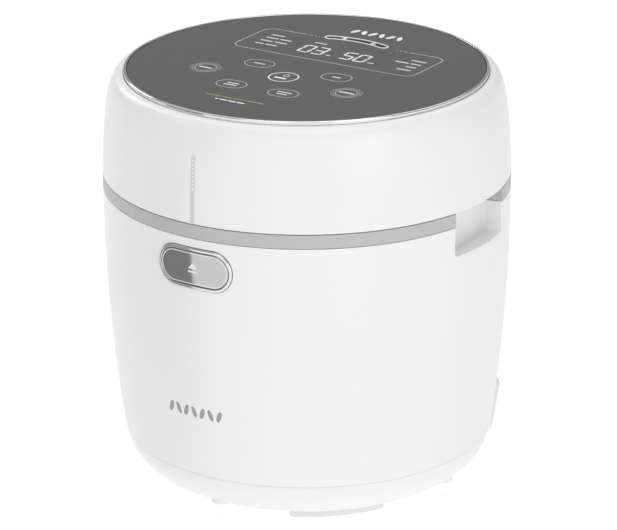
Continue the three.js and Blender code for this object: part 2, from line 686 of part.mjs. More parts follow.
function lidLiner() {
  const { plate, recess, rim, bottom } = UNDER;
  const outline = revolve([
    [0, plate], [recess, plate], [recess, bottom], [rim, bottom], [rim, bottom + WALL],
    [recess + WALL, bottom + WALL], [recess + WALL, plate + WALL], [0, plate + WALL],
  ]);
  const { halfWidth, front, ceiling, wall } = POCKET;
  const pocket = common(
    box(-halfWidth - wall, halfWidth + wall, front - wall, RADIUS, bottom, ceiling + wall),
    filled(lidOutline(WALL + 1)),
  );
  const { ring, bore, head, headTop } = LID_SCREW;
  const { split } = LID_POST;
  const bosses = lidScrewTurns.map((turn) => pillar(5, ring, turn, bottom, split, 12));
  const openings = lidScrewTurns.flatMap((turn) => [
    pillar(bore, ring, turn, bottom - 1, split + 1),
    pillar(head + 0.4, ring, turn, bottom - 1, headTop + GAP, 12),
  ]);
  const [under, over] = [plate - 1, plate + WALL + 1];
  const catchHalf = CATCH.half + 0.5;
  openings.push(extrude('z', ventOutline(1.7), under, over, 5));
  openings.push(pillar(4, 0, 0, under, over, 12));
  openings.push(pillar(5.4, INNER.valve, 0, under, over, 12));
  openings.push(
    box(-catchHalf, catchHalf, CATCH.front - 0.5, CATCH.back + 0.5, bottom - 1, bottom + WALL + 1),
  );
  return cut(join(outline, pocket, ...bosses), ...openings, hingeClearance());
}

function innerLid() {
  const { z, thick, radius, valve, raise } = INNER;
  const top = z + thick;
  const dish = revolve([
    [4.6, z + raise], [70, z + raise], [78, z], [radius, z], [radius, top], [78.4, top],
    [70.4, top + raise], [4.6, top + raise],
  ], INSIDE);
  return cut(dish, pillar(7.6, valve, 180, z - BEYOND, z + BEYOND + raise, 14));
}

function innerLidGasket() {
  const { z, thick, radius } = INNER;
  const groove = radius + GAP;
  const [low, high] = [z - GAP, z + thick + GAP];
  return revolve([
    [groove - 3, low], [groove - 3, low - 1.6], [groove - 1, POT.rim + 0.4], [groove + 4, POT.rim + 0.4],
    [groove + 4.6, low - 2.5], [groove + 4.6, high + 2.2], [groove - 3, high + 2.2], [groove - 3, high],
    [groove, high], [groove, low],
  ], INSIDE);
}

function innerLidKnob() {
  const { z, raise } = INNER;
  const top = UNDER.plate + WALL + 1.5;
  const under = z + raise - GAP;
  return revolve([
    [0, under - 4], [8, under - 4], [9.5, under - 2.5], [9.5, under], [3.6, under], [3.6, top], [0, top],
  ], 14);
}

function steamValve() {
  const { z, thick, valve, raise } = INNER;
  const [below, above] = [z + raise - GAP, z + raise + thick + GAP];
  return revolve([
    [4, z - 2], [9.5, z - 2], [9.5, below], [7, below], [7, above], [8.4, above],
    [8.4, UNDER.plate - GAP], [4, UNDER.plate - GAP],
  ], 14).translate(0, valve, 0);
}

function lidSensor() {
  const low = INNER.z + INNER.raise + INNER.thick + GAP;
  const seat = UNDER.plate + WALL + GAP;
  return revolve([[0, low], [5, low], [5, seat], [8, seat], [8, seat + 2.7], [0, seat + 2.7]], 12)
    .translate(0, -INNER.valve, 0);
}

// ---------------------------------------------------------------- materials

const finish = (color, roughness, metalness = 0) =>
  new THREE.MeshStandardMaterial({ color, roughness, metalness });

const material = {
  whiteShell: finish(0xefefef, 0.32),
  greyCollar: finish(0xb4b6b9, 0.45),
  whiteFoot: finish(0xe4e4e4, 0.6),
  chrome: finish(0xd9dadc, 0.08, 1),
  buttonFace: finish(0xaeb0b3, 0.15, 1),
  panelGlass: finish(0x64666a, 0.1),
  blackPlastic: finish(0x222325, 0.5),
  liningPlastic: finish(0xc9cbcd, 0.5),
  steel: finish(0xb7b9bb, 0.35, 1),
  aluminium: finish(0xc2c4c6, 0.4, 1),
  potCoating: finish(0x38393b, 0.45),
  silicone: finish(0xdadbd8, 0.7),
  board: finish(0x1f5a38, 0.6),
  blueCase: finish(0x2b5fa5, 0.5),
  redWire: finish(0xa32a25, 0.5),
  whiteWire: finish(0xe6e4de, 0.5),
};

// ---------------------------------------------------------------- assembly

/** Adds a named piece to a group, at an optional place and turn. */
function add(group, name, geometry, finishName, place = [0, 0, 0], turn = 0) {
  const mesh = new THREE.Mesh(geometry, material[finishName]);
  mesh.name = name;
  mesh.position.set(...place);
  mesh.rotation.z = turn;
  group.add(mesh);
}

/** A point on a ring round the middle, at a turn from the front. */
const onRing = (radius, turn, z) => [radius * Math.sin(rad(turn)), -radius * Math.cos(rad(turn)), z];

function makeBody() {
  const body = new THREE.Group();
  add(body, 'outer_shell', outerShell(), 'whiteShell');
  add(body, 'base_cover', baseCover(), 'whiteShell');
  add(body, 'collar', collar(), 'greyCollar');
  for (const [place, turn] of Object.entries(footTurns)) {
    add(body, `foot_${place}`, foot(), 'whiteFoot', [0, 0, 0], rad(turn));
  }
  screwTurns.forEach((turn, i) => {
    const { head, headDepth, shank, length, ring } = SCREW;
    const place = onRing(ring, turn, BASE.floor + SCREW_POST.well - GAP - headDepth);
    add(body, `base_screw_${i + 1}`, screw(head, headDepth, shank, length), 'steel', place);
  });
  add(body, 'inlet_housing', inletHousing(), 'whiteShell');
  add(body, 'power_inlet', powerInlet(), 'blackPlastic');
  add(body, 'pot_liner', potLiner(), 'steel');
  add(body, 'heat_shield', heatShield(), 'steel');
  add(body, 'inner_pot', innerPot(), 'potCoating');
  add(body, 'heating_plate', heatingPlate(), 'aluminium');
  add(body, 'heater_terminal_right', heaterTerminal(90), 'steel');
  add(body, 'heater_terminal_left', heaterTerminal(-90), 'steel');
  add(body, 'sensor_bracket', sensorBracket(), 'steel');
  add(body, 'sensor_spring', sensorSpring(), 'steel');
  add(body, 'thermal_fuse', box(-7, 7, 28, 36, SHIELD.floor + 4, LINER.floor - GAP), 'whiteWire');
  add(body, 'power_board', powerBoard(), 'board');
  add(body, 'relay', onBoard(-38, -8, 19, 16, 15), 'blueCase');
  add(body, 'capacitor', capacitor(), 'blackPlastic');
  add(body, 'terminal_block', onBoard(22, 3, 12, 20, 12), 'liningPlastic');
  add(body, 'heater_wire_right', heaterWire(1), 'redWire');
  add(body, 'heater_wire_left', heaterWire(-1), 'redWire');
  add(body, 'inlet_cable', inletCable(), 'whiteWire');
  add(body, 'button_bezel', buttonBezel(), 'chrome');
  add(body, 'latch_bracket', latchBracket(), 'liningPlastic');
  add(body, 'latch_pin', latchPin(), 'steel');
  add(body, 'latch_spring', latchSpring(), 'steel');
  add(body, 'hinge_bracket', hingeBracket(), 'greyCollar');
  add(body, 'hinge_pin', hingePin(), 'steel');
  add(body, 'hinge_spring', hingeSpring(), 'steel');
  return body;
}

function makeLidPieces() {
  const lid = new THREE.Group();
  add(lid, 'lid_shell', lidShell(), 'whiteShell');
  add(lid, 'panel_ring', panelRing(), 'chrome');
  add(lid, 'control_panel', controlPanel(), 'panelGlass');
  add(lid, 'vent_trim', ventTrim(), 'chrome');
  add(lid, 'steam_duct', steamDuct(), 'liningPlastic');
  add(lid, 'panel_carrier', panelCarrier(), 'liningPlastic');
  add(lid, 'display_board', displayBoard(), 'board');
  add(lid, 'display_module', displayModule(), 'blackPlastic');
  add(lid, 'lid_liner', lidLiner(), 'liningPlastic');
  add(lid, 'inner_lid', innerLid(), 'aluminium');
  add(lid, 'inner_lid_gasket', innerLidGasket(), 'silicone');
  add(lid, 'inner_lid_knob', innerLidKnob(), 'silicone');
  add(lid, 'steam_valve', steamValve(), 'blackPlastic');
  add(lid, 'lid_sensor', lidSensor(), 'steel');
  add(lid, 'lid_catch', lidCatch(), 'liningPlastic');
  add(lid, 'lid_hinge_arm_right', lidHingeArm(1), 'greyCollar');
  add(lid, 'lid_hinge_arm_left', lidHingeArm(-1), 'greyCollar');
  lidScrewTurns.forEach((turn, i) => {
    const { head, headDepth, shank, length, ring, headTop } = LID_SCREW;
    const place = onRing(ring, turn, headTop - headDepth);
    add(lid, `lid_screw_${i + 1}`, screw(head, headDepth, shank, length), 'steel', place);
  });
  return lid;
}

/** Hangs pieces from a pivot, so that turning or sliding the returned group moves them about it. */
function pivoted(pieces, x, y, z) {
  const pivot = new THREE.Group();
  pivot.position.set(x, y, z);
  pieces.position.set(-x, -y, -z);
  pivot.add(pieces);
  return pivot;
}

function single(name, geometry, finishName) {
  const group = new THREE.Group();
  add(group, name, geometry, finishName);
  return group;
}

const riceCooker = new THREE.Group();
riceCooker.add(makeBody());
riceCooker.add(pivoted(makeLidPieces(), 0, HINGE.y, HINGE.z));
riceCooker.add(pivoted(single('latch_lever', latchLever(), 'liningPlastic'), 0, LATCH.y, LATCH.z));
riceCooker.add(single('open_button', openButton(), 'buttonFace'));
riceCooker.add(single('sensor_cap', sensorCap(), 'aluminium'));

export default riceCooker;
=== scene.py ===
"""Looks of a round rice cooker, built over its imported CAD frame. Sizes here are in millimetres."""

import math

import bmesh
import bpy
from mathutils import Matrix, Vector


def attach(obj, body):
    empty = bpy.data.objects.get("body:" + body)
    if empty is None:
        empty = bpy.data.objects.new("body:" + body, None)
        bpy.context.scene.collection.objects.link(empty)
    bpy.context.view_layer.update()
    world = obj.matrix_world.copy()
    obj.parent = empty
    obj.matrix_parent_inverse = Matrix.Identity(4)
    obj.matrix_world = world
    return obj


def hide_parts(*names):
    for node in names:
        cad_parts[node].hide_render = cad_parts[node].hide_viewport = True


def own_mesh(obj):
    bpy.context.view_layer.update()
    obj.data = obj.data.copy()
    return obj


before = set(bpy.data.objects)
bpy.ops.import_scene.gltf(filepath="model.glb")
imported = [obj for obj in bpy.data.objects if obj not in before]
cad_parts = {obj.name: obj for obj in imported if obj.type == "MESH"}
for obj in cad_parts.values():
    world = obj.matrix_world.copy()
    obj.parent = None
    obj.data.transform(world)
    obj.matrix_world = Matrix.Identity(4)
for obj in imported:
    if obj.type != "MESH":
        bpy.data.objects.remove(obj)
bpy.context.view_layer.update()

# ---------------------------------------------------------------- sizes

MM = 0.001
COLUMNS = 180  # faces round a large turned piece
RADIUS = 120.0
PARTING = 188.5
SHELL = {"bottom": 30.75, "top": 180.2, "taper": 5.46, "power": 2.28, "wall": 2.5}
BASE = {"floor": 6.0, "corner": 28.0, "flat": 81.9, "top": 30.6}
FOOT = {"radius": 75.7, "depth": 15.0, "height": 5.7, "spread": 20.4, "corner": 3.0}
FOOT_TURNS = {"front_right": 45, "rear_right": 135, "rear_left": -135, "front_left": -45}
GRIP = {"back": 108.5, "floor": 162.5, "spread": 12.8, "wall": 2.2, "corner": 2.4}
BUTTON = {"z": 162.3, "width": 50.0, "height": 24.5}
BUTTON_LINE = {"width": 44.2, "height": 18.7}
CATCH_SLOT = {"half": 9.5, "front": -115.5, "back": -103.6}
INLET = {"turn": 135.0, "z": 33.2, "width": 34.0, "height": 26.0}
HINGE = {"y": 112.0, "z": 198.0, "relief": 9.2, "pin": 2.5, "reach": 27.0}
POCKET = {"half": 28.5, "front": 100.5, "ceiling": 209.6, "wall": 2.5}
LID = {"bottom": 188.9, "shoulder": 248.6, "ledge": 247.2, "seat": 107.0, "wall": 2.5}
LID_CURVE = [Vector(p) for p in ((120.0, 188.9), (118.3, 242.5), (114.2, 248.6), (107.0, 248.6))]
GLASS = {"radius": 104.6, "bottom": 247.5, "top": 250.5}
RING = {"inner": 104.9, "outer": 106.7, "top": 250.8}
VENT = {"radius": 58.3, "width": 6.8, "spread": 18.7, "rim": 1.3, "bottom": 244.0, "bars": 9.8}
VENT_FLOOR = {"bottom": 246.4, "top": 247.6, "slot": 1.6, "spread": 16.0}
UNDER = {"plate": 199.0, "recess": 97.0, "rim": 116.6, "bottom": 189.3}
SCREW_RING = 94.0
LID_SCREW_RING = 109.0
LID_SCREW_TURNS = (45, 135, 225, 315)
VALVE_Y = 57.0
INK = (-0.1, 0.06)  # depth and height of print on the glass
INK_ROWS = [(0, INK[0]), (0, INK[1])]
SEGMENTS = {0: "abcdef", 3: "abgcd", 5: "afgcd"}


def side_radius(z):
    """Radius of the body's side at a height."""
    fall = max(PARTING - z, 0.0) / RADIUS
    return RADIUS - SHELL["taper"] * fall ** SHELL["power"]


def lid_point(t):
    """Radius and height of the lid's outer face, from its rim (0) to the panel's seat (1)."""
    a, b, c, d = LID_CURVE
    s = 1 - t
    return s**3 * a + 3 * s * s * t * b + 3 * s * t * t * c + t**3 * d


def lid_radius(z):
    """Radius of the lid's outer face at a height."""
    low, high = 0.0, 1.0
    for _ in range(30):
        middle = (low + high) / 2
        if lid_point(middle)[1] < z:
            low = middle
        else:
            high = middle
    return lid_point(low)[0]


# ---------------------------------------------------------------- outlines


def soften(corners, steps=4):
    """Rounds the corners of a closed outline given as (u, v) or (u, v, radius)."""
    outline = []
    for i, corner in enumerate(corners):
        here = Vector(corner[:2])
        if len(corner) < 3:
            outline.append(tuple(here))
            continue
        before = (Vector(corners[i - 1][:2]) - here).normalized()
        after = (Vector(corners[(i + 1) % len(corners)][:2]) - here).normalized()
        half = before.angle(after) / 2
        centre = here + (before + after).normalized() * corner[2] / math.sin(half)
        start = here + before * corner[2] / math.tan(half) - centre
        end = here + after * corner[2] / math.tan(half) - centre
        turn = math.atan2(start.cross(end), start.dot(end))
        count = steps * 3 if corner[2] > 5 else steps
        for k in range(count + 1):
            outline.append(tuple(centre + Matrix.Rotation(turn * k / count, 2) @ start))
    return outline


def mirrored(upper):
    """Closes an upper half, from its right end to its left one, with the same points below."""
    return upper + [(u, -v) for u, v in reversed(upper[1:-1])]


def rounded(width, height, corner, inset=0.0, steps=6, runs=1):
    """A rectangle with round corners, made smaller all round by an inset."""
    w, h = width / 2 - inset, height / 2 - inset
    c = min(max(corner - inset, 0.01), w, h)
    quarter = [math.pi / 2 * k / steps for k in range(steps + 1)]
    right = [(w - c + c * math.cos(a), h - c + c * math.sin(a)) for a in quarter]
    left = [(-u, v) for u, v in reversed(right)]
    middle = [((w - c) * (1 - 2 * k / runs), h) for k in range(1, runs)]
    return mirrored([(w, 0.0), *right, *middle, *left, (-w, 0.0)])


def pill(width, height, inset=0.0, steps=10, runs=14):
    """A bar with half-round ends."""
    return rounded(width, height, height / 2, inset, steps, runs)


def disc(radius, steps=8):
    return rounded(2 * radius, 2 * radius, radius, 0.0, steps)


def bow(radius, width, spread, inset=0.0, runs=24, ends=6):
    """A curved bar with round ends about the middle of the lid, open towards the rear."""
    half = width / 2 - inset

    def tip(side, low, high):
        angle = math.radians(90 + side * spread)
        centre = radius * Vector((math.cos(angle), math.sin(angle)))
        for k in range(ends + 1):
            a = angle + side * math.radians(low + (high - low) * k / ends)
            yield tuple(centre + half * Vector((math.cos(a), math.sin(a))))

    def arc(r):
        for k in range(runs + 1):
            a = math.radians(90 - spread + 2 * spread * k / runs)
            yield (r * math.cos(a), r * math.sin(a))

    outer = [*tip(-1, 90, 0), *arc(radius + half), *tip(1, 0, 90)]
    inner = [*tip(-1, 90, 180), *arc(radius - half), *tip(1, 180, 90)]
    return outer + list(reversed(inner[1:-1]))


# ---------------------------------------------------------------- places


def around(radius_at, rise, turn=0.0):
    """Places (along the girth, up, out) on a round side, about a height and a turn."""

    def place(u, v, out):
        angle = math.radians(turn) + u / RADIUS
        r = radius_at(rise + v) + out
        return (r * math.sin(angle), -r * math.cos(angle), rise + v)

    return place


def level(height, x=0.0, y=0.0):
    """Places (right, back, up) on a level face."""
    return lambda u, v, out: (x + u, y + v, height + out)


def on_ring(radius, degrees):
    """The point (x, y) at a turn round the upright axis, counted from the front."""
    turn = math.radians(degrees)
    return radius * math.sin(turn), -radius * math.cos(turn)


def sideways(place):
    """The same place with the first two directions changed over."""
    return lambda u, v, out: place(v, u, out)


# ---------------------------------------------------------------- meshes


def lathe(profile, columns=COLUMNS):
    """Turns a closed profile of (radius, height) about the upright axis."""
    points, rows, faces = [], [], []
    for r, z in profile:
        first = len(points)
        if r < 1e-6:
            points.append((0.0, 0.0, z))
            rows.append([first] * columns)
            continue
        for k in range(columns):
            a = 2 * math.pi * k / columns
            points.append((r * math.sin(a), -r * math.cos(a), z))
        rows.append(range(first, first + columns))
    for low, high in zip(rows, rows[1:] + rows[:1]):
        for k in range(columns):
            n = (k + 1) % columns
            corner = list(dict.fromkeys((low[k], low[n], high[n], high[k])))
            if len(corner) > 2:
                faces.append(corner)
    return points, faces


def stack(rings, hollow=False):
    """Joins rings of equal length. A hollow one closes on itself, another is sealed at both ends."""
    count = len(rings[0])
    points = [p for ring in rings for p in ring]
    faces = []
    for row in range(len(rings) - (0 if hollow else 1)):
        a, b = row * count, (row + 1) % len(rings) * count
        faces += [(a + k, a + (k + 1) % count, b + (k + 1) % count, b + k) for k in range(count)]
    if not hollow:
        for a in (0, (len(rings) - 1) * count):
            for k in range(count // 2):
                corner = [k, k + 1, count - k - 1, (count - k) % count]
                faces.append([a + c for c in dict.fromkeys(corner)])
    return points, faces


def swept(place, outline, rows, hollow=False):
    """Stacks an outline at rows of (inset, out)."""
    rings = [[place(u, v, out) for u, v in outline(inset)] for inset, out in rows]
    return stack(rings, hollow)


def together(parts):
    """Several lots of points and faces as one."""
    points, faces = [], []
    for more, joined in parts:
        faces += [[len(points) + i for i in face] for face in joined]
        points += more
    return points, faces


def block(x0, x1, y0, y1, z0, z1):
    corners = [(x0, y0), (x1, y0), (x1, y1), (x0, y1)]
    points = [(x, y, z) for z in (z0, z1) for x, y in corners]
    sides = [(k, (k + 1) % 4, 4 + (k + 1) % 4, 4 + k) for k in range(4)]
    return points, [(0, 1, 2, 3), (4, 5, 6, 7), *sides]


def turned(part, angle, axis="Z", about=(0.0, 0.0, 0.0)):
    """Points and faces turned by degrees about an axis."""
    matrix = Matrix.Rotation(math.radians(angle), 3, axis)
    middle = Vector(about)
    return [tuple(matrix @ (Vector(p) - middle) + middle) for p in part[0]], part[1]


def moved(part, x, y, z):
    return [(a + x, b + y, c + z) for a, b, c in part[0]], part[1]


def weld(mesh):
    """Merges doubled points, turns faces outwards and rounds the shading off below 38 degrees."""
    bm = bmesh.new()
    bm.from_mesh(mesh)
    bmesh.ops.remove_doubles(bm, verts=bm.verts, dist=2e-6)
    bmesh.ops.dissolve_degenerate(bm, edges=bm.edges, dist=1e-6)
    bmesh.ops.recalc_face_normals(bm, faces=bm.faces)
    bm.to_mesh(mesh)
    bm.free()
    mesh.shade_smooth()
    mesh.set_sharp_from_angle(angle=math.radians(38))


def shape(part, name="shape"):
    """A mesh object from points in millimetres and faces."""
    points, faces = part
    mesh = bpy.data.meshes.new(name)
    mesh.from_pydata([[c * MM for c in p] for p in points], [], [list(f) for f in faces])
    mesh.validate()
    obj = bpy.data.objects.new(name, mesh)
    bpy.context.scene.collection.objects.link(obj)
    weld(mesh)
    return obj


def settle(obj):
    """Keeps what an object's modifiers make as its own mesh."""
    graph = bpy.context.evaluated_depsgraph_get()
    mesh = bpy.data.meshes.new_from_object(obj.evaluated_get(graph))
    obj.modifiers.clear()
    obj.data = mesh


def combine(obj, operation, *parts):
    """Joins parts to an object (UNION), cuts them out (DIFFERENCE) or keeps what they share."""
    tools = [shape(part, "tool") for part in parts]
    for tool in tools:
        step = obj.modifiers.new("step", "BOOLEAN")
        step.operation = operation
        step.solver = "EXACT"
        step.object = tool
    settle(obj)
    for tool in tools:
        bpy.data.objects.remove(tool)
    weld(obj.data)
    return obj


def taken(obj):
    """An object's own points and faces, in millimetres. The object goes."""
    points = [tuple(v.co / MM) for v in obj.data.vertices]
    faces = [tuple(face.vertices) for face in obj.data.polygons]
    bpy.data.objects.remove(obj)
    return points, faces


def even(obj):
    """Lets the large faces decide how the small ones beside them are shaded."""
    step = obj.modifiers.new("shading", "WEIGHTED_NORMAL")
    step.keep_sharp = True
    step.weight = 100
    settle(obj)


def follow(obj, radius_at, low, high):
    """Shades a turned outer face by its own curve, across whatever was cut into it."""
    mesh = obj.data
    normals = [Vector(n.vector) for n in mesh.corner_normals]

    def exact(point):
        z = point.z / MM
        slope = (radius_at(z + 0.2) - radius_at(z - 0.2)) / 0.4
        out = Vector((point.x, point.y, 0.0)).normalized()
        return (out - Vector((0.0, 0.0, slope))).normalized()

    for face in mesh.polygons:
        centre = face.center
        z = centre.z / MM
        if not low < z < high:
            continue
        off = abs(math.hypot(centre.x, centre.y) / MM - radius_at(z))
        if off > 0.15 or face.normal.dot(exact(centre)) < 0.998:
            continue
        for corner in face.loop_indices:
            normals[corner] = exact(mesh.vertices[mesh.loops[corner].vertex_index].co)
    mesh.normals_split_custom_set([tuple(n) for n in normals])


def refine(node, width, limit=42.0):
    """A new piece with a CAD node's shape and its hard edges rounded."""
    mesh = bpy.data.meshes.new(node)
    bm = bmesh.new()
    bm.from_mesh(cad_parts[node].data)
    bmesh.ops.remove_doubles(bm, verts=bm.verts, dist=2e-6)
    bmesh.ops.dissolve_limit(bm, angle_limit=math.radians(1), verts=bm.verts, edges=bm.edges)
    hard = [e for e in bm.edges if len(e.link_faces) == 2 and e.calc_face_angle(0) > math.radians(limit)]
    bmesh.ops.bevel(
        bm, geom=hard, offset=width * MM, offset_type="OFFSET", segments=3, profile=0.5,
        affect="EDGES", clamp_overlap=True,
    )
    bm.to_mesh(mesh)
    bm.free()
    obj = bpy.data.objects.new(node, mesh)
    bpy.context.scene.collection.objects.link(obj)
    weld(mesh)
    even(obj)
    return obj


# ---------------------------------------------------------------- materials


def linear(value):
    """An 8-bit grey as a linear one."""
    c = value / 255
    return c / 12.92 if c <= 0.04045 else ((c + 0.055) / 1.055) ** 2.4


def finish_of(name, colour, roughness, metal=0.0, ior=1.5, grain=0.02, size=700.0, bump=0.02):
    """A finish whose tone, gloss and surface vary a little with a fine grain."""
    mat = bpy.data.materials.new(name)
    mat.use_nodes = True
    nodes, links = mat.node_tree.nodes, mat.node_tree.links
    shader = nodes["Principled BSDF"]
    shader.inputs["Metallic"].default_value = metal
    shader.inputs["IOR"].default_value = ior
    place = nodes.new("ShaderNodeTexCoord")
    fine = nodes.new("ShaderNodeTexNoise")
    fine.inputs["Scale"].default_value = size
    fine.inputs["Detail"].default_value = 3.0
    broad = nodes.new("ShaderNodeTexNoise")
    broad.inputs["Scale"].default_value = 14.0
    tone = nodes.new("ShaderNodeValToRGB")
    base = [linear(c) for c in colour]
    tone.color_ramp.elements[0].position = 0.3
    tone.color_ramp.elements[0].color = [c * (1 - grain) for c in base] + [1.0]
    tone.color_ramp.elements[1].position = 0.7
    tone.color_ramp.elements[1].color = [min(c * (1 + grain), 1.0) for c in base] + [1.0]
    gloss = nodes.new("ShaderNodeMapRange")
    gloss.inputs["From Min"].default_value = 0.3
    gloss.inputs["From Max"].default_value = 0.7
    gloss.inputs["To Min"].default_value = roughness * 0.9
    gloss.inputs["To Max"].default_value = min(roughness * 1.1, 1.0)
    relief = nodes.new("ShaderNodeBump")
    relief.inputs["Strength"].default_value = bump
    relief.inputs["Distance"].default_value = 0.0002
    for noise in (fine, broad):
        links.new(place.outputs["Object"], noise.inputs["Vector"])
    links.new(broad.outputs["Fac"], tone.inputs["Fac"])
    links.new(tone.outputs["Color"], shader.inputs["Base Color"])
    links.new(broad.outputs["Fac"], gloss.inputs["Value"])
    links.new(gloss.outputs["Result"], shader.inputs["Roughness"])
    links.new(fine.outputs["Fac"], relief.inputs["Height"])
    links.new(relief.outputs["Normal"], shader.inputs["Normal"])
    return mat


def grey(value):
    return (value, value, value)


finishes = {
    "white_plastic": finish_of("white plastic", grey(238), 0.34, bump=0.04, grain=0.006),
    "grey_plastic": finish_of("grey plastic", grey(187), 0.42, bump=0.05, grain=0.012),
    "foot_plastic": finish_of("foot plastic", grey(228), 0.55, bump=0.08),
    "chrome": finish_of("chrome", grey(224), 0.09, metal=1.0, bump=0.004, grain=0.01),
    "button_face": finish_of("button face", grey(191), 0.1, metal=1.0, bump=0.004, grain=0.01),
    "panel_glass": finish_of("panel glass", grey(88), 0.2, ior=1.3, bump=0.006, grain=0.015),
    "black_plastic": finish_of("black plastic", (34, 35, 37), 0.45, bump=0.08, grain=0.06),
    "lining_plastic": finish_of("lining plastic", (212, 213, 214), 0.45, bump=0.07, grain=0.012),
    "blue_plastic": finish_of("blue plastic", (43, 95, 165), 0.45, bump=0.05),
    "steel": finish_of("steel", (190, 192, 195), 0.3, metal=1.0, bump=0.02, grain=0.03),
    "aluminium": finish_of("aluminium", (200, 202, 204), 0.36, metal=1.0, bump=0.03, grain=0.03),
    "pot_coating": finish_of("pot coating", (62, 63, 65), 0.42, bump=0.12, grain=0.12, size=1400.0),
    "silicone": finish_of("silicone", (222, 223, 220), 0.62, bump=0.05),
    "circuit_board": finish_of("circuit board", (31, 90, 56), 0.5, bump=0.05, grain=0.06),
    "wire_red": finish_of("red wire", (163, 42, 37), 0.45, bump=0.04),
    "wire_white": finish_of("white wire", (230, 228, 222), 0.5, bump=0.04),
}
prints = {
    # White print, also used as the painted glow of the display's lit digits.
    "white_print_and_glow": finish_of("white print and painted display glow", grey(240), 0.5, bump=0.02),
    "print_grey": finish_of("grey print", grey(158), 0.45, bump=0.02),
    "print_light": finish_of("light grey print", grey(212), 0.45, bump=0.02),
    "print_green": finish_of("green print", (146, 158, 66), 0.5, bump=0.02),
    "print_dark": finish_of("dark grey paint", grey(106), 0.4, bump=0.02),
    "satin_chrome": finish_of("satin chrome", grey(236), 0.34, metal=0.3, bump=0.01),
}


def dress(obj, name, body, slot, *nodes, finish=None):
    """Names a piece, gives it its finish and its body, and hides the CAD nodes it stands for."""
    obj.name = name
    obj.data.name = name
    obj.data.materials.clear()
    obj.data.materials.append(finish or finishes[slot])
    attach(obj, body)
    if nodes:
        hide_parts(*nodes)
    return obj


def printed(name, body, finish, parts):
    """Ink on a surface, also the painted glow of the display's lit digits: very thin closed shapes, all in
    one piece.
    """
    obj = shape(together(parts))
    return dress(obj, name, body, None, finish=prints[finish])


# ---------------------------------------------------------------- tools that cut openings


def sector(turn, r0, r1, low, high, spread, corner=0.01, flare=(), round_back=0.0):
    """A block between two radii, with a flare of (radius, growth) towards the outside."""
    width = 2 * math.radians(spread) * RADIUS
    middle = (low + high) / 2
    rows = [(0.0, r0), (0.0, r1)]
    if round_back:
        steps = [math.radians(a) for a in (0, 30, 60, 90)]
        rows = [(round_back * (1 - math.sin(a)), r0 + round_back * (1 - math.cos(a))) for a in steps]
        rows.append((0.0, r1))
    if flare:
        rows = rows[:-1] + [(-growth, radius) for radius, growth in flare] + [(-flare[-1][1], r1)]
    place = around(lambda z: 0.0, middle, turn)
    return swept(place, lambda inset: rounded(width, high - low, corner, inset, 5, 18), rows)


def hinge_clearance():
    """Room at the rear for the hinge and for the lid's rim as it swings."""
    y, z, relief = HINGE["y"], HINGE["z"], HINGE["relief"]
    room = block(-POCKET["half"], POCKET["half"], POCKET["front"], 130, 180, POCKET["ceiling"])
    sweep = [math.radians(-90 * k / 12) for k in range(13)]
    outline = [(130.0, 180.0), (130.0, z)]
    outline += [(y + relief * math.cos(a), z + relief * math.sin(a)) for a in sweep]
    outline.append((y, 180.0))
    count = len(outline)
    points = [(x, v, w) for x in (-60.0, 60.0) for v, w in outline]
    sides = [(k, (k + 1) % count, count + (k + 1) % count, count + k) for k in range(count)]
    return room, (points, [tuple(range(count)), tuple(range(count, 2 * count)), *sides])


def inlet_hole():
    """The way through the wall for the mains inlet."""
    w, h, z = INLET["width"] / 2, INLET["height"] / 2, INLET["z"]
    return turned(block(-w, w, -126, -86, z - h, z + h), INLET["turn"])


# ---------------------------------------------------------------- body


def make_outer_shell():
    count = 28
    heights = [SHELL["bottom"] + (SHELL["top"] - SHELL["bottom"]) * k / count for k in range(count + 1)]
    outer = [(side_radius(z), z) for z in heights]
    outer[0] = (*outer[0], 0.15)
    outer[-1] = (*outer[-1], 0.35)
    inner = [(side_radius(z) - SHELL["wall"], z) for z in reversed(heights)]
    obj = shape(lathe(soften([*outer, *inner])))
    grip_wall = math.degrees(GRIP["wall"] / RADIUS)
    joined, cuts = [], []
    for turn in (90, -90):
        back, floor, spread = GRIP["back"], GRIP["floor"], GRIP["spread"]
        inner_face = back - GRIP["wall"]
        low = floor - GRIP["wall"]
        joined.append(sector(turn, inner_face, RADIUS - 1.5, low, SHELL["top"] - 0.1, spread + grip_wall))
        joined.append(sector(turn, inner_face, back + 1, floor + 3, PARTING - 0.3, spread - 0.2))
        flare = [(119.1, 0.0), (119.5, 0.1), (119.75, 0.3), (119.9, 0.6), (120.2, 1.2)]
        cuts.append(sector(turn, back, 128, floor, PARTING + 40, spread, GRIP["corner"], flare, 1.2))
    cuts.append(swept(
        around(lambda z: 0.0, BUTTON["z"]), lambda inset: pill(BUTTON["width"], BUTTON["height"], inset),
        [(-0.25, 100.0), (-0.25, 119.4), (-0.4, 119.7), (-0.9, 120.1), (-0.9, 126.0)],
    ))
    cuts.append(inlet_hole())
    combine(obj, "UNION", *joined)
    combine(obj, "DIFFERENCE", *cuts)
    even(obj)
    follow(obj, side_radius, SHELL["bottom"] + 0.6, SHELL["top"] - 0.4)
    dress(obj, "casing", "body", "white_plastic", "outer_shell")


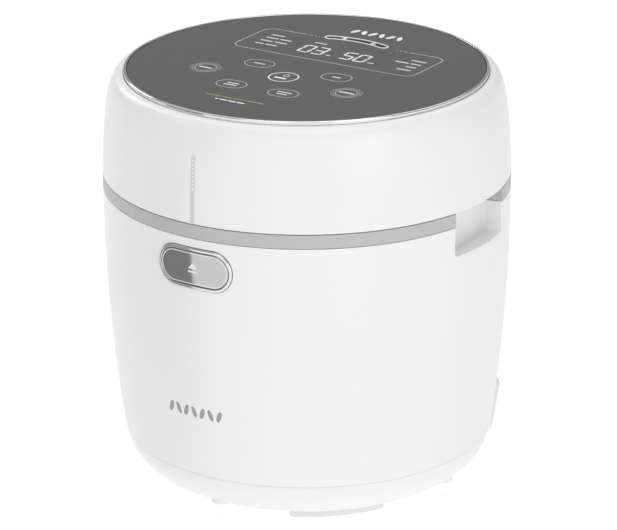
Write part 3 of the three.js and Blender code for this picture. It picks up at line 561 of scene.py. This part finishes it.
def make_collar():
    profile = soften([
        (117, 180.5), (120, 180.5, 0.3), (120, 188.5, 0.35), (101, 188.5, 0.5), (101, 184.4),
        (95.4, 184.4, 0.4), (95.4, 182.4), (103.3, 182.4), (103.3, 185.5), (117, 185.5),
    ])
    obj = shape(lathe(profile))
    ends = [sector(turn, 104.3, 119, 180.6, 187.5, GRIP["spread"] + 1.2) for turn in (90, -90)]
    notches = [sector(turn, 106, 128, 150, 210, GRIP["spread"]) for turn in (90, -90)]
    combine(obj, "UNION", *ends)
    half, front, back = CATCH_SLOT["half"], CATCH_SLOT["front"], CATCH_SLOT["back"]
    combine(obj, "DIFFERENCE", *notches, block(-half, half, front, back, 170, 200))
    even(obj)
    follow(obj, lambda z: RADIUS, 180.9, 188.1)
    dress(obj, "collar_ring", "body", "grey_plastic", "collar")


def make_base():
    corner, flat, floor = BASE["corner"], BASE["flat"], BASE["floor"]
    centre = floor + corner
    end = math.asin((BASE["top"] - centre) / corner)
    sweep = [-math.pi / 2 + (end + math.pi / 2) * k / 20 for k in range(21)]
    outer = [(flat + corner * math.cos(a), centre + corner * math.sin(a)) for a in sweep]
    bend = corner - 2.5
    inner = [(flat + bend * math.cos(a), centre + bend * math.sin(a)) for a in reversed(sweep)]
    inner[0] = (inner[0][0], BASE["top"])
    outer[-1] = (*outer[-1], 0.15)
    obj = shape(lathe(soften([(0, floor), *outer, *inner, (0, floor + 2.5)])))
    wells = [on_ring(SCREW_RING, turn) for turn in (0, 90, 180, -90)]
    posts = [moved(lathe([(0, 9.5), (6, 9.5), (6, 26), (0, 26)], 32), x, y, 0) for x, y in wells]
    combine(obj, "UNION", *posts)
    bores = [moved(lathe([(0, 0), (4.3, 0), (4.3, 14), (0, 14)], 40), x, y, 0) for x, y in wells]
    slots = []
    for k in range(6):
        slot = swept(sideways(level(0, -45, 0)), lambda inset: pill(14.5, 3, inset, 6, 1), [(0, 2), (0, 12)])
        slots.append(turned(slot, 60 * k + 30))
    combine(obj, "DIFFERENCE", *bores, *slots, inlet_hole())
    even(obj)
    dress(obj, "underside", "body", "white_plastic", "base_cover")


def make_feet():
    depth, height, corner = FOOT["depth"], FOOT["height"], FOOT["corner"]
    width = 2 * math.radians(FOOT["spread"]) * FOOT["radius"]
    rows = [(0.9, 0.0), (0.35, 0.15), (0.08, 0.5), (0.0, 1.0), (0.0, height)]
    for name, turn in FOOT_TURNS.items():

        def place(u, v, out, turn=turn):
            angle = math.radians(turn) + u / FOOT["radius"]
            r = FOOT["radius"] + v
            return (r * math.sin(angle), -r * math.cos(angle), out)

        obj = shape(swept(place, lambda inset: rounded(width, depth, corner, inset, 6, 16), rows))
        even(obj)
        dress(obj, f"foot_pad_{name}", "body", "foot_plastic", f"foot_{name}")


def screw(head, depth, shank, length):
    """A pan-head screw with a cross recess, its head's top face down."""
    obj = shape(lathe(soften([
        (0, 0), (head, 0, 0.8), (head, depth, 0.2), (shank, depth), (shank, length), (0, length),
    ]), 40))
    arm = head * 0.6
    combine(obj, "DIFFERENCE", block(-arm, arm, -0.4, 0.4, -1, 1.1), block(-0.4, 0.4, -arm, arm, -1, 1.1))
    even(obj)
    return obj.data, obj


def make_screws():
    sets = (
        ("base_screw", "body", screw(3.8, 2.5, 1.6, 34), SCREW_RING, 11.2, (0, 90, 180, 270)),
        ("lid_screw", "lid", screw(3.2, 2.0, 1.5, 16), LID_SCREW_RING, 190.0, LID_SCREW_TURNS),
    )
    for name, body, (mesh, first), ring, seat, turns in sets:
        for i, turn in enumerate(turns):
            obj = bpy.data.objects.new(name, mesh.copy())
            obj.data.transform(Matrix.Translation(Vector((*on_ring(ring, turn), seat)) * MM))
            bpy.context.scene.collection.objects.link(obj)
            dress(obj, f"{name}_{i + 1}_head", body, "steel", f"{name}_{i + 1}")
        bpy.data.objects.remove(first)


def make_pot():
    obj = shape(lathe(soften([
        (0, 70.3), (90, 70.3, 24), (90, 184.7, 1.0), (98.5, 184.7, 0.7), (98.5, 186.7, 0.9),
        (87.7, 186.7, 1.4), (87.7, 72.6, 21.7), (0, 72.6),
    ], 5)))
    even(obj)
    dress(obj, "cooking_pot", "body", "pot_coating", "inner_pot")


def make_button():
    wrapped = around(side_radius, BUTTON["z"])
    width, height = BUTTON["width"], BUTTON["height"]

    def place(u, v, out):
        """The walls run straight back, so that the key slides in past its rim."""
        x, y, z = wrapped(u, v, 0.0)
        return (x, y - out, z)

    rim = [
        (0.0, -4.0), (0.0, 0.2), (0.08, 0.45), (0.28, 0.65), (0.6, 0.74), (1.3, 0.74), (1.62, 0.65),
        (1.82, 0.45), (1.9, 0.2), (1.9, -4.0),
    ]
    obj = shape(swept(place, lambda inset: pill(width, height, inset, 14, 16), rim, hollow=True))
    even(obj)
    dress(obj, "button_rim", "body", "chrome", "button_bezel")
    face = [
        (2.15, -3.0), (2.15, 0.2), (2.22, 0.38), (2.4, 0.5), (2.8, 0.56), (5.0, 0.58), (8.0, 0.6),
        (11.0, 0.61), (12.1, 0.61),
    ]
    key = shape(swept(place, lambda inset: pill(width, height, inset, 14, 16), face))
    even(key)
    dress(key, "button_key", "button", "button_face", "open_button")
    w, h = BUTTON_LINE["width"], BUTTON_LINE["height"]
    top = 0.57
    line = swept(
        place, lambda inset: pill(w, h, inset, 14, 16),
        [(0.0, top - 0.2), (0.0, top + 0.08), (0.38, top + 0.08), (0.38, top - 0.2)], hollow=True,
    )
    thick = [(0.0, top - 0.2), (0.0, top + 0.1)]
    mark = around(side_radius, BUTTON["z"] + 1.2)
    triangle = [(-3.0, -1.2), (3.0, -1.2), (0.0, 2.2)]
    points = [mark(u, v, out) for out in (top - 0.2, top + 0.1) for u, v in triangle]
    arrow = (points, [(0, 1, 2), (3, 4, 5), (0, 1, 4, 3), (1, 2, 5, 4), (2, 0, 3, 5)])
    below = around(side_radius, BUTTON["z"] - 1.9)
    bar = swept(below, lambda inset: rounded(6.0, 1.0, 0.3, inset, 3, 2), thick)
    printed("button_print", "button", "white_print_and_glow", [line, arrow, bar])


def make_inlet():
    dress(refine("inlet_housing", 0.8), "inlet_cover", "body", "white_plastic", "inlet_housing")
    dress(refine("power_inlet", 0.3), "inlet_socket", "body", "black_plastic", "power_inlet")


def make_sensor_spring():
    """The coil under the sensor cap, as one fixed shape; the real coil shortens as the pot pushes the cap
    down.
    """
    spring = refine("sensor_spring", 0.05, 170.0)
    dress(spring, "sensor_coil", "body", "steel", "sensor_spring")
    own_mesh(spring)


def rod(radius, x0, x1, y, z, columns=40):
    """A round bar along X with softened ends."""
    part = lathe(soften([(0, x0), (radius, x0, 0.4), (radius, x1, 0.4), (0, x1)]), columns)
    return [(c, y + a, z + b) for a, b, c in part[0]], part[1]


def make_hinge():
    dress(refine("hinge_bracket", 0.5), "hinge_lugs", "body", "grey_plastic", "hinge_bracket")
    pin = shape(rod(HINGE["pin"], -HINGE["reach"], HINGE["reach"], HINGE["y"], HINGE["z"]))
    dress(pin, "hinge_axle", "body", "steel", "hinge_pin")
    for side in ("right", "left"):
        node = f"lid_hinge_arm_{side}"
        dress(refine(node, 0.5), f"hinge_arm_{side}", "lid", "grey_plastic", node)
    dress(refine("latch_lever", 0.3), "latch_arm", "latch", "lining_plastic", "latch_lever")
    dress(refine("lid_catch", 0.4), "catch_hook", "lid", "lining_plastic", "lid_catch")


# ---------------------------------------------------------------- lid


def make_lid_shell():
    count = 40
    curve = [tuple(lid_point(k / count)) for k in range(count + 1)]
    outer = [(*curve[0], 0.5), *curve[1:-1], (*curve[-1], 0.2)]
    wall = LID["wall"]
    inner = [(r - wall, z) for r, z in reversed(curve) if z < LID["ledge"] - wall - 1.6]
    obj = shape(lathe(soften([
        *outer, (LID["seat"], LID["ledge"]), (98, LID["ledge"]), (98, LID["ledge"] - wall),
        (109, LID["ledge"] - wall), *inner,
    ])))
    combine(obj, "DIFFERENCE", *hinge_clearance())
    even(obj)
    follow(obj, lid_radius, LID["bottom"] + 0.6, 246.0)
    dress(obj, "lid_casing", "lid", "white_plastic", "lid_shell")


def make_panel():
    ring = shape(lathe(soften([
        (RING["inner"], GLASS["bottom"]), (RING["outer"], GLASS["bottom"]),
        (RING["outer"], RING["top"], 0.7), (RING["inner"], RING["top"], 0.3),
    ], 6), 240))
    even(ring)
    dress(ring, "bright_ring", "lid", "chrome", "panel_ring")
    glass = shape(lathe(soften([
        (0, GLASS["bottom"]), (GLASS["radius"], GLASS["bottom"]), (GLASS["radius"], GLASS["top"], 0.35),
        (0, GLASS["top"]),
    ]), 240))
    combine(glass, "DIFFERENCE", swept(level(0), vent_outline, [(-0.15, 240.0), (-0.15, 255.0)]))
    even(glass)
    dress(glass, "panel_pane", "lid", "panel_glass", "control_panel")


def vent_outline(inset):
    return bow(VENT["radius"], VENT["width"], VENT["spread"], inset)


def make_vent():
    """The bright trim of the steam vent with its two bars, and the dark walls and slotted floor inside."""
    top, low, rim, width = RING["top"], VENT["bottom"], VENT["rim"], VENT["width"]
    rows = [
        (0.0, low), (0.0, top - 0.35), (0.12, top - 0.12), (0.4, top), (rim - 0.4, top),
        (rim - 0.12, top - 0.12), (rim, top - 0.35), (rim, low),
    ]
    trim = shape(swept(level(0), vent_outline, rows, hollow=True))
    inside = []
    for turn in (-VENT["bars"], VENT["bars"]):
        bar = swept(level(0, 0, VENT["radius"]), lambda inset: rounded(2.4, width - 1.2, 0.3, inset, 2, 1), [
            (0.0, low), (0.0, top - 0.6), (0.25, top - 0.35),
        ])
        inside.append(turned(bar, turn))
    floor, ceiling = VENT_FLOOR["bottom"], VENT_FLOOR["top"]
    inside.append(swept(level(0), vent_outline, [(rim - 0.2, floor), (rim - 0.2, ceiling)]))
    slot = swept(level(0), lambda inset: bow(VENT["radius"], VENT_FLOOR["slot"], VENT_FLOOR["spread"]), [
        (0, 240), (0, ceiling + 1),
    ])
    combine(trim, "UNION", *inside)
    combine(trim, "DIFFERENCE", slot)
    even(trim)
    dress(trim, "vent_surround", "lid", "chrome", "vent_trim", finish=prints["satin_chrome"])
    paint = shape(swept(level(ceiling), vent_outline, [(rim + 0.02, INK[0]), (rim + 0.02, INK[1])]))
    combine(paint, "DIFFERENCE", slot)
    dress(paint, "vent_floor_paint", "lid", None, finish=prints["print_dark"])
    lining = shape(swept(level(0), vent_outline, [
        (rim - 0.05, ceiling), (rim - 0.05, top - 0.4), (rim + 0.1, top - 0.4), (rim + 0.1, ceiling),
    ], hollow=True))
    dress(lining, "vent_wall_paint", "lid", None, finish=prints["print_dark"])


def make_lid_under():
    plate, recess, rim, bottom = UNDER["plate"], UNDER["recess"], UNDER["rim"], UNDER["bottom"]
    obj = shape(lathe(soften([
        (0, plate), (recess, plate, 1.5), (recess, bottom, 0.9), (rim, bottom, 0.9), (rim, bottom + 2.5),
        (recess + 2.5, bottom + 2.5), (recess + 2.5, plate + 2.5), (0, plate + 2.5),
    ])))
    half, wall = POCKET["half"] + POCKET["wall"], POCKET["wall"]
    pocket = shape(block(-half, half, POCKET["front"] - wall, 125, bottom + 0.05, POCKET["ceiling"] + wall))
    inside = [(lid_radius(z) - 3.5, z) for z in (180, 190, 200, 210, 220)]
    combine(pocket, "INTERSECT", lathe([(0, 180), *inside, (0, 220)]))
    combine(obj, "UNION", taken(pocket))
    places = [on_ring(LID_SCREW_RING, turn) for turn in LID_SCREW_TURNS]
    bosses = [moved(lathe([(0, 190), (5, 190), (5, 196), (0, 196)], 32), x, y, 0) for x, y in places]
    combine(obj, "UNION", *bosses)
    wells = [moved(lathe([(0, 180), (3.6, 180), (3.6, 192.3), (0, 192.3)], 32), x, y, 0) for x, y in places]
    wells.append(moved(lathe([(0, 190), (5.4, 190), (5.4, 205), (0, 205)], 32), 0, VALVE_Y, 0))
    wells.append(block(-8, 8, -112.5, -109, 185, 195))
    combine(obj, "DIFFERENCE", *wells, *hinge_clearance())
    even(obj)
    dress(obj, "lid_underside", "lid", "lining_plastic", "lid_liner")

    plate = shape(lathe(soften([
        (4.6, 195), (70, 195, 3), (78, 193, 3), (91.3, 193), (91.3, 194.2, 0.3), (78.4, 194.2, 3),
        (70.4, 196.2, 3), (4.6, 196.2),
    ])))
    hole = lathe([(0, 190), (7.6, 190), (7.6, 200), (0, 200)], 40)
    combine(plate, "DIFFERENCE", moved(hole, 0, VALVE_Y, 0))
    even(plate)
    dress(plate, "inner_lid_plate", "lid", "aluminium", "inner_lid")
    seal = shape(lathe(soften([
        (88.6, 192.7), (88.6, 191.1, 0.6), (90.6, 187.1, 0.8), (95.6, 187.1, 0.8), (96.2, 190.2),
        (96.2, 196.7, 0.6), (88.6, 196.7, 0.6), (88.6, 194.5), (91.6, 194.5), (91.6, 192.7),
    ])))
    even(seal)
    dress(seal, "inner_lid_seal", "lid", "silicone", "inner_lid_gasket")
    knob = shape(lathe(soften([
        (0, 190.7), (8, 190.7, 1.2), (9.5, 192.2, 0.8), (9.5, 194.7, 0.5), (3.6, 194.7), (3.6, 203),
        (0, 203),
    ]), 64))
    even(knob)
    dress(knob, "inner_lid_grommet", "lid", "silicone", "inner_lid_knob")
    valve = shape(moved(lathe(soften([
        (4, 191, 0.4), (9.5, 191, 0.9), (9.5, 194.7), (7, 194.7), (7, 196.5), (8.4, 196.5),
        (8.4, 198.7), (4, 198.7),
    ]), 56), 0, VALVE_Y, 0))
    even(valve)
    dress(valve, "steam_outlet", "lid", "black_plastic", "steam_valve")


# ---------------------------------------------------------------- printing


def grains(place, length, height, count, out):
    """A row of leaning rice grains, used as a neutral mark."""
    parts = []
    pitch = length / count
    for k in range(count):
        lean = math.radians(20 if k % 2 else -20)
        middle = -length / 2 + pitch * (k + 0.5)

        def leaning(u, v, rise, lean=lean, middle=middle):
            x = middle + u * math.cos(lean) - v * math.sin(lean)
            return place(x, u * math.sin(lean) + v * math.cos(lean), rise)

        def grain(inset, size=height * 0.96):
            half = [math.pi * k / 20 for k in range(21)]
            return mirrored([(size / 2 * math.cos(a), size * 0.21 * math.sin(a) ** 0.8) for a in half])

        parts.append(swept(sideways(leaning), grain, out))
    return parts


def line_round(place, outline, width, out):
    """A thin line that follows a closed outline."""
    low, high = out
    return swept(place, outline, [(0, low), (0, high), (width, high), (width, low)], hollow=True)


def make_side_prints():
    out = [(0.0, -0.25), (0.0, 0.05)]
    length, width = 40.2, 2.8
    end = [math.pi / 2 * k / 8 for k in range(9)]
    outline = [(length - width / 2 * (1 - math.cos(a)), width / 2 * math.sin(a)) for a in end]
    outline += [(length * (1 - k / 24), width / 2) for k in range(2, 25)]
    strip = swept(
        sideways(around(lid_radius, PARTING + 0.7)), lambda inset: mirrored([*outline, (0.0, 0.0)]), out,
    )
    printed("lid_strip", "lid", "print_light", [strip])
    dots = []
    for k in range(9):
        place = around(lid_radius, PARTING + 39.7 - 2.35 * k)
        dots.append(swept(place, lambda inset: disc(0.58), [(0.0, -0.1), (0.0, 0.1)]))
    printed("lid_strip_dots", "lid", "white_print_and_glow", dots)
    mark = around(side_radius, PARTING - 116.5, -2.2)
    printed("front_mark", "body", "print_grey", grains(mark, 41, 7.5, 7, out))


def digit(value, x, y, width, height):
    """A seven-segment digit. Each bar is (right, up, upright)."""
    stroke = 1.35
    across, up = width - stroke - 0.5, height / 2 - stroke / 2 - 0.5
    end, side, rise = height / 2 - stroke / 2, width / 2 - stroke / 2, height / 4 - 0.2
    bars = {
        "a": (0, end, False), "g": (0, 0, False), "d": (0, -end, False), "f": (-side, rise, True),
        "b": (side, rise, True), "e": (-side, -rise, True), "c": (side, -rise, True),
    }
    parts = []
    for key in SEGMENTS[value]:
        u, v, tall = bars[key]
        size = (stroke, up) if tall else (across, stroke)
        place = level(GLASS["top"], x + u, y + v)
        parts.append(swept(place, lambda inset: rounded(*size, 0.35, inset, 3), INK_ROWS))
    return parts


def word(x, y, lengths, height=1.7, gap=1.3):
    """A label too small to read, as a row of short bars that starts at x."""
    parts = []
    for length in lengths:
        place = level(GLASS["top"], x + length / 2, y)
        parts.append(swept(place, lambda inset: rounded(length, height, 0.5, inset, 3), INK_ROWS))
        x += length + gap
    return parts


def words(x, y, lengths, height=1.7, gap=1.3, align="left"):
    total = sum(lengths) + gap * (len(lengths) - 1)
    start = {"left": x, "middle": x - total / 2, "right": x - total}[align]
    return word(start, y, lengths, height, gap)


def make_panel_prints():
    top = GLASS["top"]
    bright = grains(level(top, 3.5, 73.6), 37, 7.8, 6, INK_ROWS)
    # The display's lit digits are painted glow: white ink on the glass stands in for the light the display
    # gives.
    for value, x in ((0, -17.6), (3, -8.4), (5, 11.2), (0, 20.6)):
        bright += digit(value, x, 28.6, 7.9, 14.0)
    printed("display_digits_painted_glow", "lid", "white_print_and_glow", bright)
    printed("display_frame", "lid", "print_light", [*display_frame(), *display_words()])
    printed("key_outlines", "lid", "print_light", [*pill_keys(), *round_keys()])

    start = [line_round(level(top, 0.9, -25.9), lambda inset: disc(9.05 - inset, 12), 0.75, INK)]
    start.append(line_round(level(top, 0.9, -22.8), lambda inset: disc(1.9 - inset, 8), 0.5, INK))
    start += words(0.2, -28.3, [8], 2.0, align="middle")
    start += words(-0.6, -79.8, [2, 5, 5, 5], 1.5, 0.9, "middle")
    printed("start_key", "lid", "white_print_and_glow", start)
    printed("accent_line", "lid", "print_green", words(-0.6, -74.8, [18.4, 7.2, 12.6], 1.3, 0.9, "middle"))


def display_frame():
    """The line round the display, which thins out into dashes beside the steam vent."""
    top = GLASS["top"]
    low, high, corner, width = 11.7, 53.1, 6.8, 0.45
    bend = [math.radians(9 * k) for k in range(11)]
    parts = []
    for side, end, edge in ((-1, 33.0, 60.6), (1, 38.0, 63.4)):
        x = edge - corner
        path = [(side * end, high)]
        path += [(side * (x + corner * math.sin(a)), high - corner * (1 - math.cos(a))) for a in bend]
        path += [(side * (x + corner * math.cos(a)), low + corner * (1 - math.sin(a))) for a in bend]
        path.append((0.0, low))
        parts.append(ribbon(path, width, INK))
        for step, length in ((2.5, 2.6), (5.7, 1.7), (8.4, 0.8)):
            dash = level(top, side * (end - step), high)
            parts.append(swept(dash, lambda inset: rounded(length, width, 0.1, inset, 2), INK_ROWS))
    return parts


def display_words():
    """Labels on the display, each word a short bar."""
    parts = []
    for y, lengths in ((42.0, [9.4]), (36.0, [8.6, 7.6]), (29.8, [8.6, 8.4]), (23.5, [6.0, 8.2])):
        parts += words(-51.2, y, lengths)
    for y, lengths in ((40.6, [9.8]), (34.5, [9.0, 7.0]), (28.6, [6.8]), (22.6, [9.4])):
        parts += words(57.0, y, lengths, align="right")
    parts += words(-16.3, 41.8, [8.6], 1.5, align="middle")
    parts += words(0.0, 23.4, [3.2], 1.4, align="middle")
    return parts + words(29.4, 23.2, [4.6], 1.4, align="middle")


def pill_keys():
    parts = []
    for x, y, rows in (
        (-25.4, -10.9, [[7.5]]), (27.3, -10.6, [[5.6]]),
        (-17.4, -52.5, [[8.0], [8.8]]), (17.5, -52.0, [[9.6], [7.0]]),
    ):
        place = level(GLASS["top"], x, y)
        parts.append(line_round(place, lambda inset: pill(19.1, 13.6, inset, 8, 1), 0.4, INK))
        for row, lengths in enumerate(rows):
            parts += words(x, y + (len(rows) - 1) * 1.7 - 3.4 * row, lengths, 1.6, align="middle")
    return parts


def round_keys():
    parts = []
    for x, y, length in ((-48.1, -33.7, 8.6), (47.7, -32.6, 10.2)):
        for radius, width in ((9.1, 0.16), (7.85, 0.2), (6.55, 0.4)):
            place = level(GLASS["top"], x, y)
            parts.append(line_round(place, lambda inset: disc(radius - inset, 12), width, INK))
        parts += words(x, y, [length], 2.0, align="middle")
    return parts


def ribbon(path, width, out):
    """A thin flat line along an open path on the glass."""
    sides = []
    for i, here in enumerate(path):
        before, after = Vector(path[max(i - 1, 0)]), Vector(path[min(i + 1, len(path) - 1)])
        along = (after - before).normalized()
        across = Vector((-along.y, along.x)) * width / 2
        sides.append((Vector(here) + across, Vector(here) - across))
    rings = []
    low, high = GLASS["top"] + out[0], GLASS["top"] + out[1]
    for a, b in sides:
        rings.append([(a.x, a.y, low), (a.x, a.y, high), (b.x, b.y, high), (b.x, b.y, low)])
    return stack(rings)


# ---------------------------------------------------------------- studio


def area_light(name, place, aim, size, power):
    light = bpy.data.lights.new(name, "AREA")
    light.shape = "DISK"
    light.size = size
    light.energy = power
    light.spread = math.pi
    obj = bpy.data.objects.new(name, light)
    obj.location = place
    obj.rotation_euler = (Vector(aim) - Vector(place)).to_track_quat("-Z", "Y").to_euler()
    bpy.context.scene.collection.objects.link(obj)


def make_studio():
    scene = bpy.context.scene
    scene.view_settings.view_transform = "Standard"
    world = bpy.data.worlds.new("studio")
    scene.world = world
    world.use_nodes = True
    nodes, links = world.node_tree.nodes, world.node_tree.links
    backdrop = nodes["Background"]
    backdrop.inputs["Color"].default_value = (1.0, 1.0, 1.0, 1.0)
    backdrop.inputs["Strength"].default_value = 1.0
    dome = nodes.new("ShaderNodeBackground")
    dome.inputs["Color"].default_value = (1.0, 1.0, 1.0, 1.0)
    dome.inputs["Strength"].default_value = 0.36
    rays = nodes.new("ShaderNodeLightPath")
    either = nodes.new("ShaderNodeMixShader")
    links.new(rays.outputs["Is Camera Ray"], either.inputs["Fac"])
    links.new(dome.outputs["Background"], either.inputs[1])
    links.new(backdrop.outputs["Background"], either.inputs[2])
    links.new(either.outputs["Shader"], nodes["World Output"].inputs["Surface"])

    reach = 9e3
    corners = [(-reach, -reach, 0), (reach, -reach, 0), (reach, reach, 0), (-reach, reach, 0)]
    floor = shape((corners, [(0, 1, 2, 3)]), "floor")
    paper = bpy.data.materials.new("white paper")
    paper.use_nodes = True
    sheet = paper.node_tree.nodes["Principled BSDF"]
    sheet.inputs["Base Color"].default_value = (0.5, 0.5, 0.5, 1.0)
    sheet.inputs["Roughness"].default_value = 0.9
    sheet.inputs["Emission Color"].default_value = (1.0, 1.0, 1.0, 1.0)
    sheet.inputs["Emission Strength"].default_value = 0.63
    floor.data.materials.append(paper)

    reflection_sheet("left_flag", [(-0.054, -0.192), (-0.745, -1.185), (-1.60, -0.90), (-0.30, -0.20)], 0.3)
    for name, place, aim, size, watts in (
        ("overhead", (0.3, -0.4, 2.2), 0.1, 2.0, 17),
        ("right", (2.2, -1.0, 0.6), 0.13, 1.6, 13.5),
        ("front", (0.4, -2.4, 0.8), 0.13, 1.6, 6),
        ("rear", (-0.6, 2.0, 2.4), 0.2, 1.6, 12),
        ("left", (-1.3, 0.2, 2.2), 0.2, 1.4, 6),
        ("far_left", (-2.0, 0.6, 1.3), 0.2, 0.9, 8),
    ):
        area_light(name, place, (0, 0, aim), size, watts)


def reflection_sheet(name, corners, tone):
    """A dim sheet on the floor that only bright surfaces see. Its corners are in metres."""
    card = shape(([(x / MM, y / MM, 0.5) for x, y in corners], [(0, 1, 2, 3)]), name)
    felt = bpy.data.materials.new(name)
    felt.use_nodes = True
    face = felt.node_tree.nodes["Principled BSDF"]
    face.inputs["Base Color"].default_value = (0.0, 0.0, 0.0, 1.0)
    face.inputs["Emission Color"].default_value = (1.0, 1.0, 1.0, 1.0)
    face.inputs["Emission Strength"].default_value = tone
    card.data.materials.append(felt)
    card.visible_camera = False
    card.visible_diffuse = False
    card.visible_shadow = False


def make_camera():
    """A long lens to the right of the front, looking a little down on the object."""
    camera = bpy.data.cameras.new("camera")
    camera.lens = 210.0
    camera.sensor_width = 36.0
    camera.clip_start, camera.clip_end = 0.1, 50.0
    azimuth, elevation, distance = math.radians(32.6), math.radians(18.79), 2.117
    right, front = on_ring(math.cos(elevation), math.degrees(azimuth))
    back = Vector((right, front, math.sin(elevation)))
    target = Vector((0.0, 0.0, PARTING * MM))
    obj = bpy.data.objects.new("camera", camera)
    obj.location = target + back * distance
    look = (-back).to_track_quat("-Z", "Y").to_matrix()
    aside, down, roll = math.radians(0.016), math.radians(1.570), math.radians(0.30)
    aim = Matrix.Rotation(-down, 3, "X") @ Matrix.Rotation(-aside, 3, "Y") @ Matrix.Rotation(-roll, 3, "Z")
    obj.rotation_euler = (look @ aim).to_euler()
    bpy.context.scene.collection.objects.link(obj)
    bpy.context.scene.camera = obj


make_outer_shell()
make_collar()
make_base()
make_feet()
make_screws()
make_pot()
make_button()
make_inlet()
make_sensor_spring()
make_hinge()
make_lid_shell()
make_panel()
make_vent()
make_lid_under()
make_side_prints()
make_panel_prints()
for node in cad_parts.values():
    if not node.hide_render:
        node.data.materials[0] = finishes.get(node.data.materials[0].name, finishes["steel"])
make_studio()
make_camera()
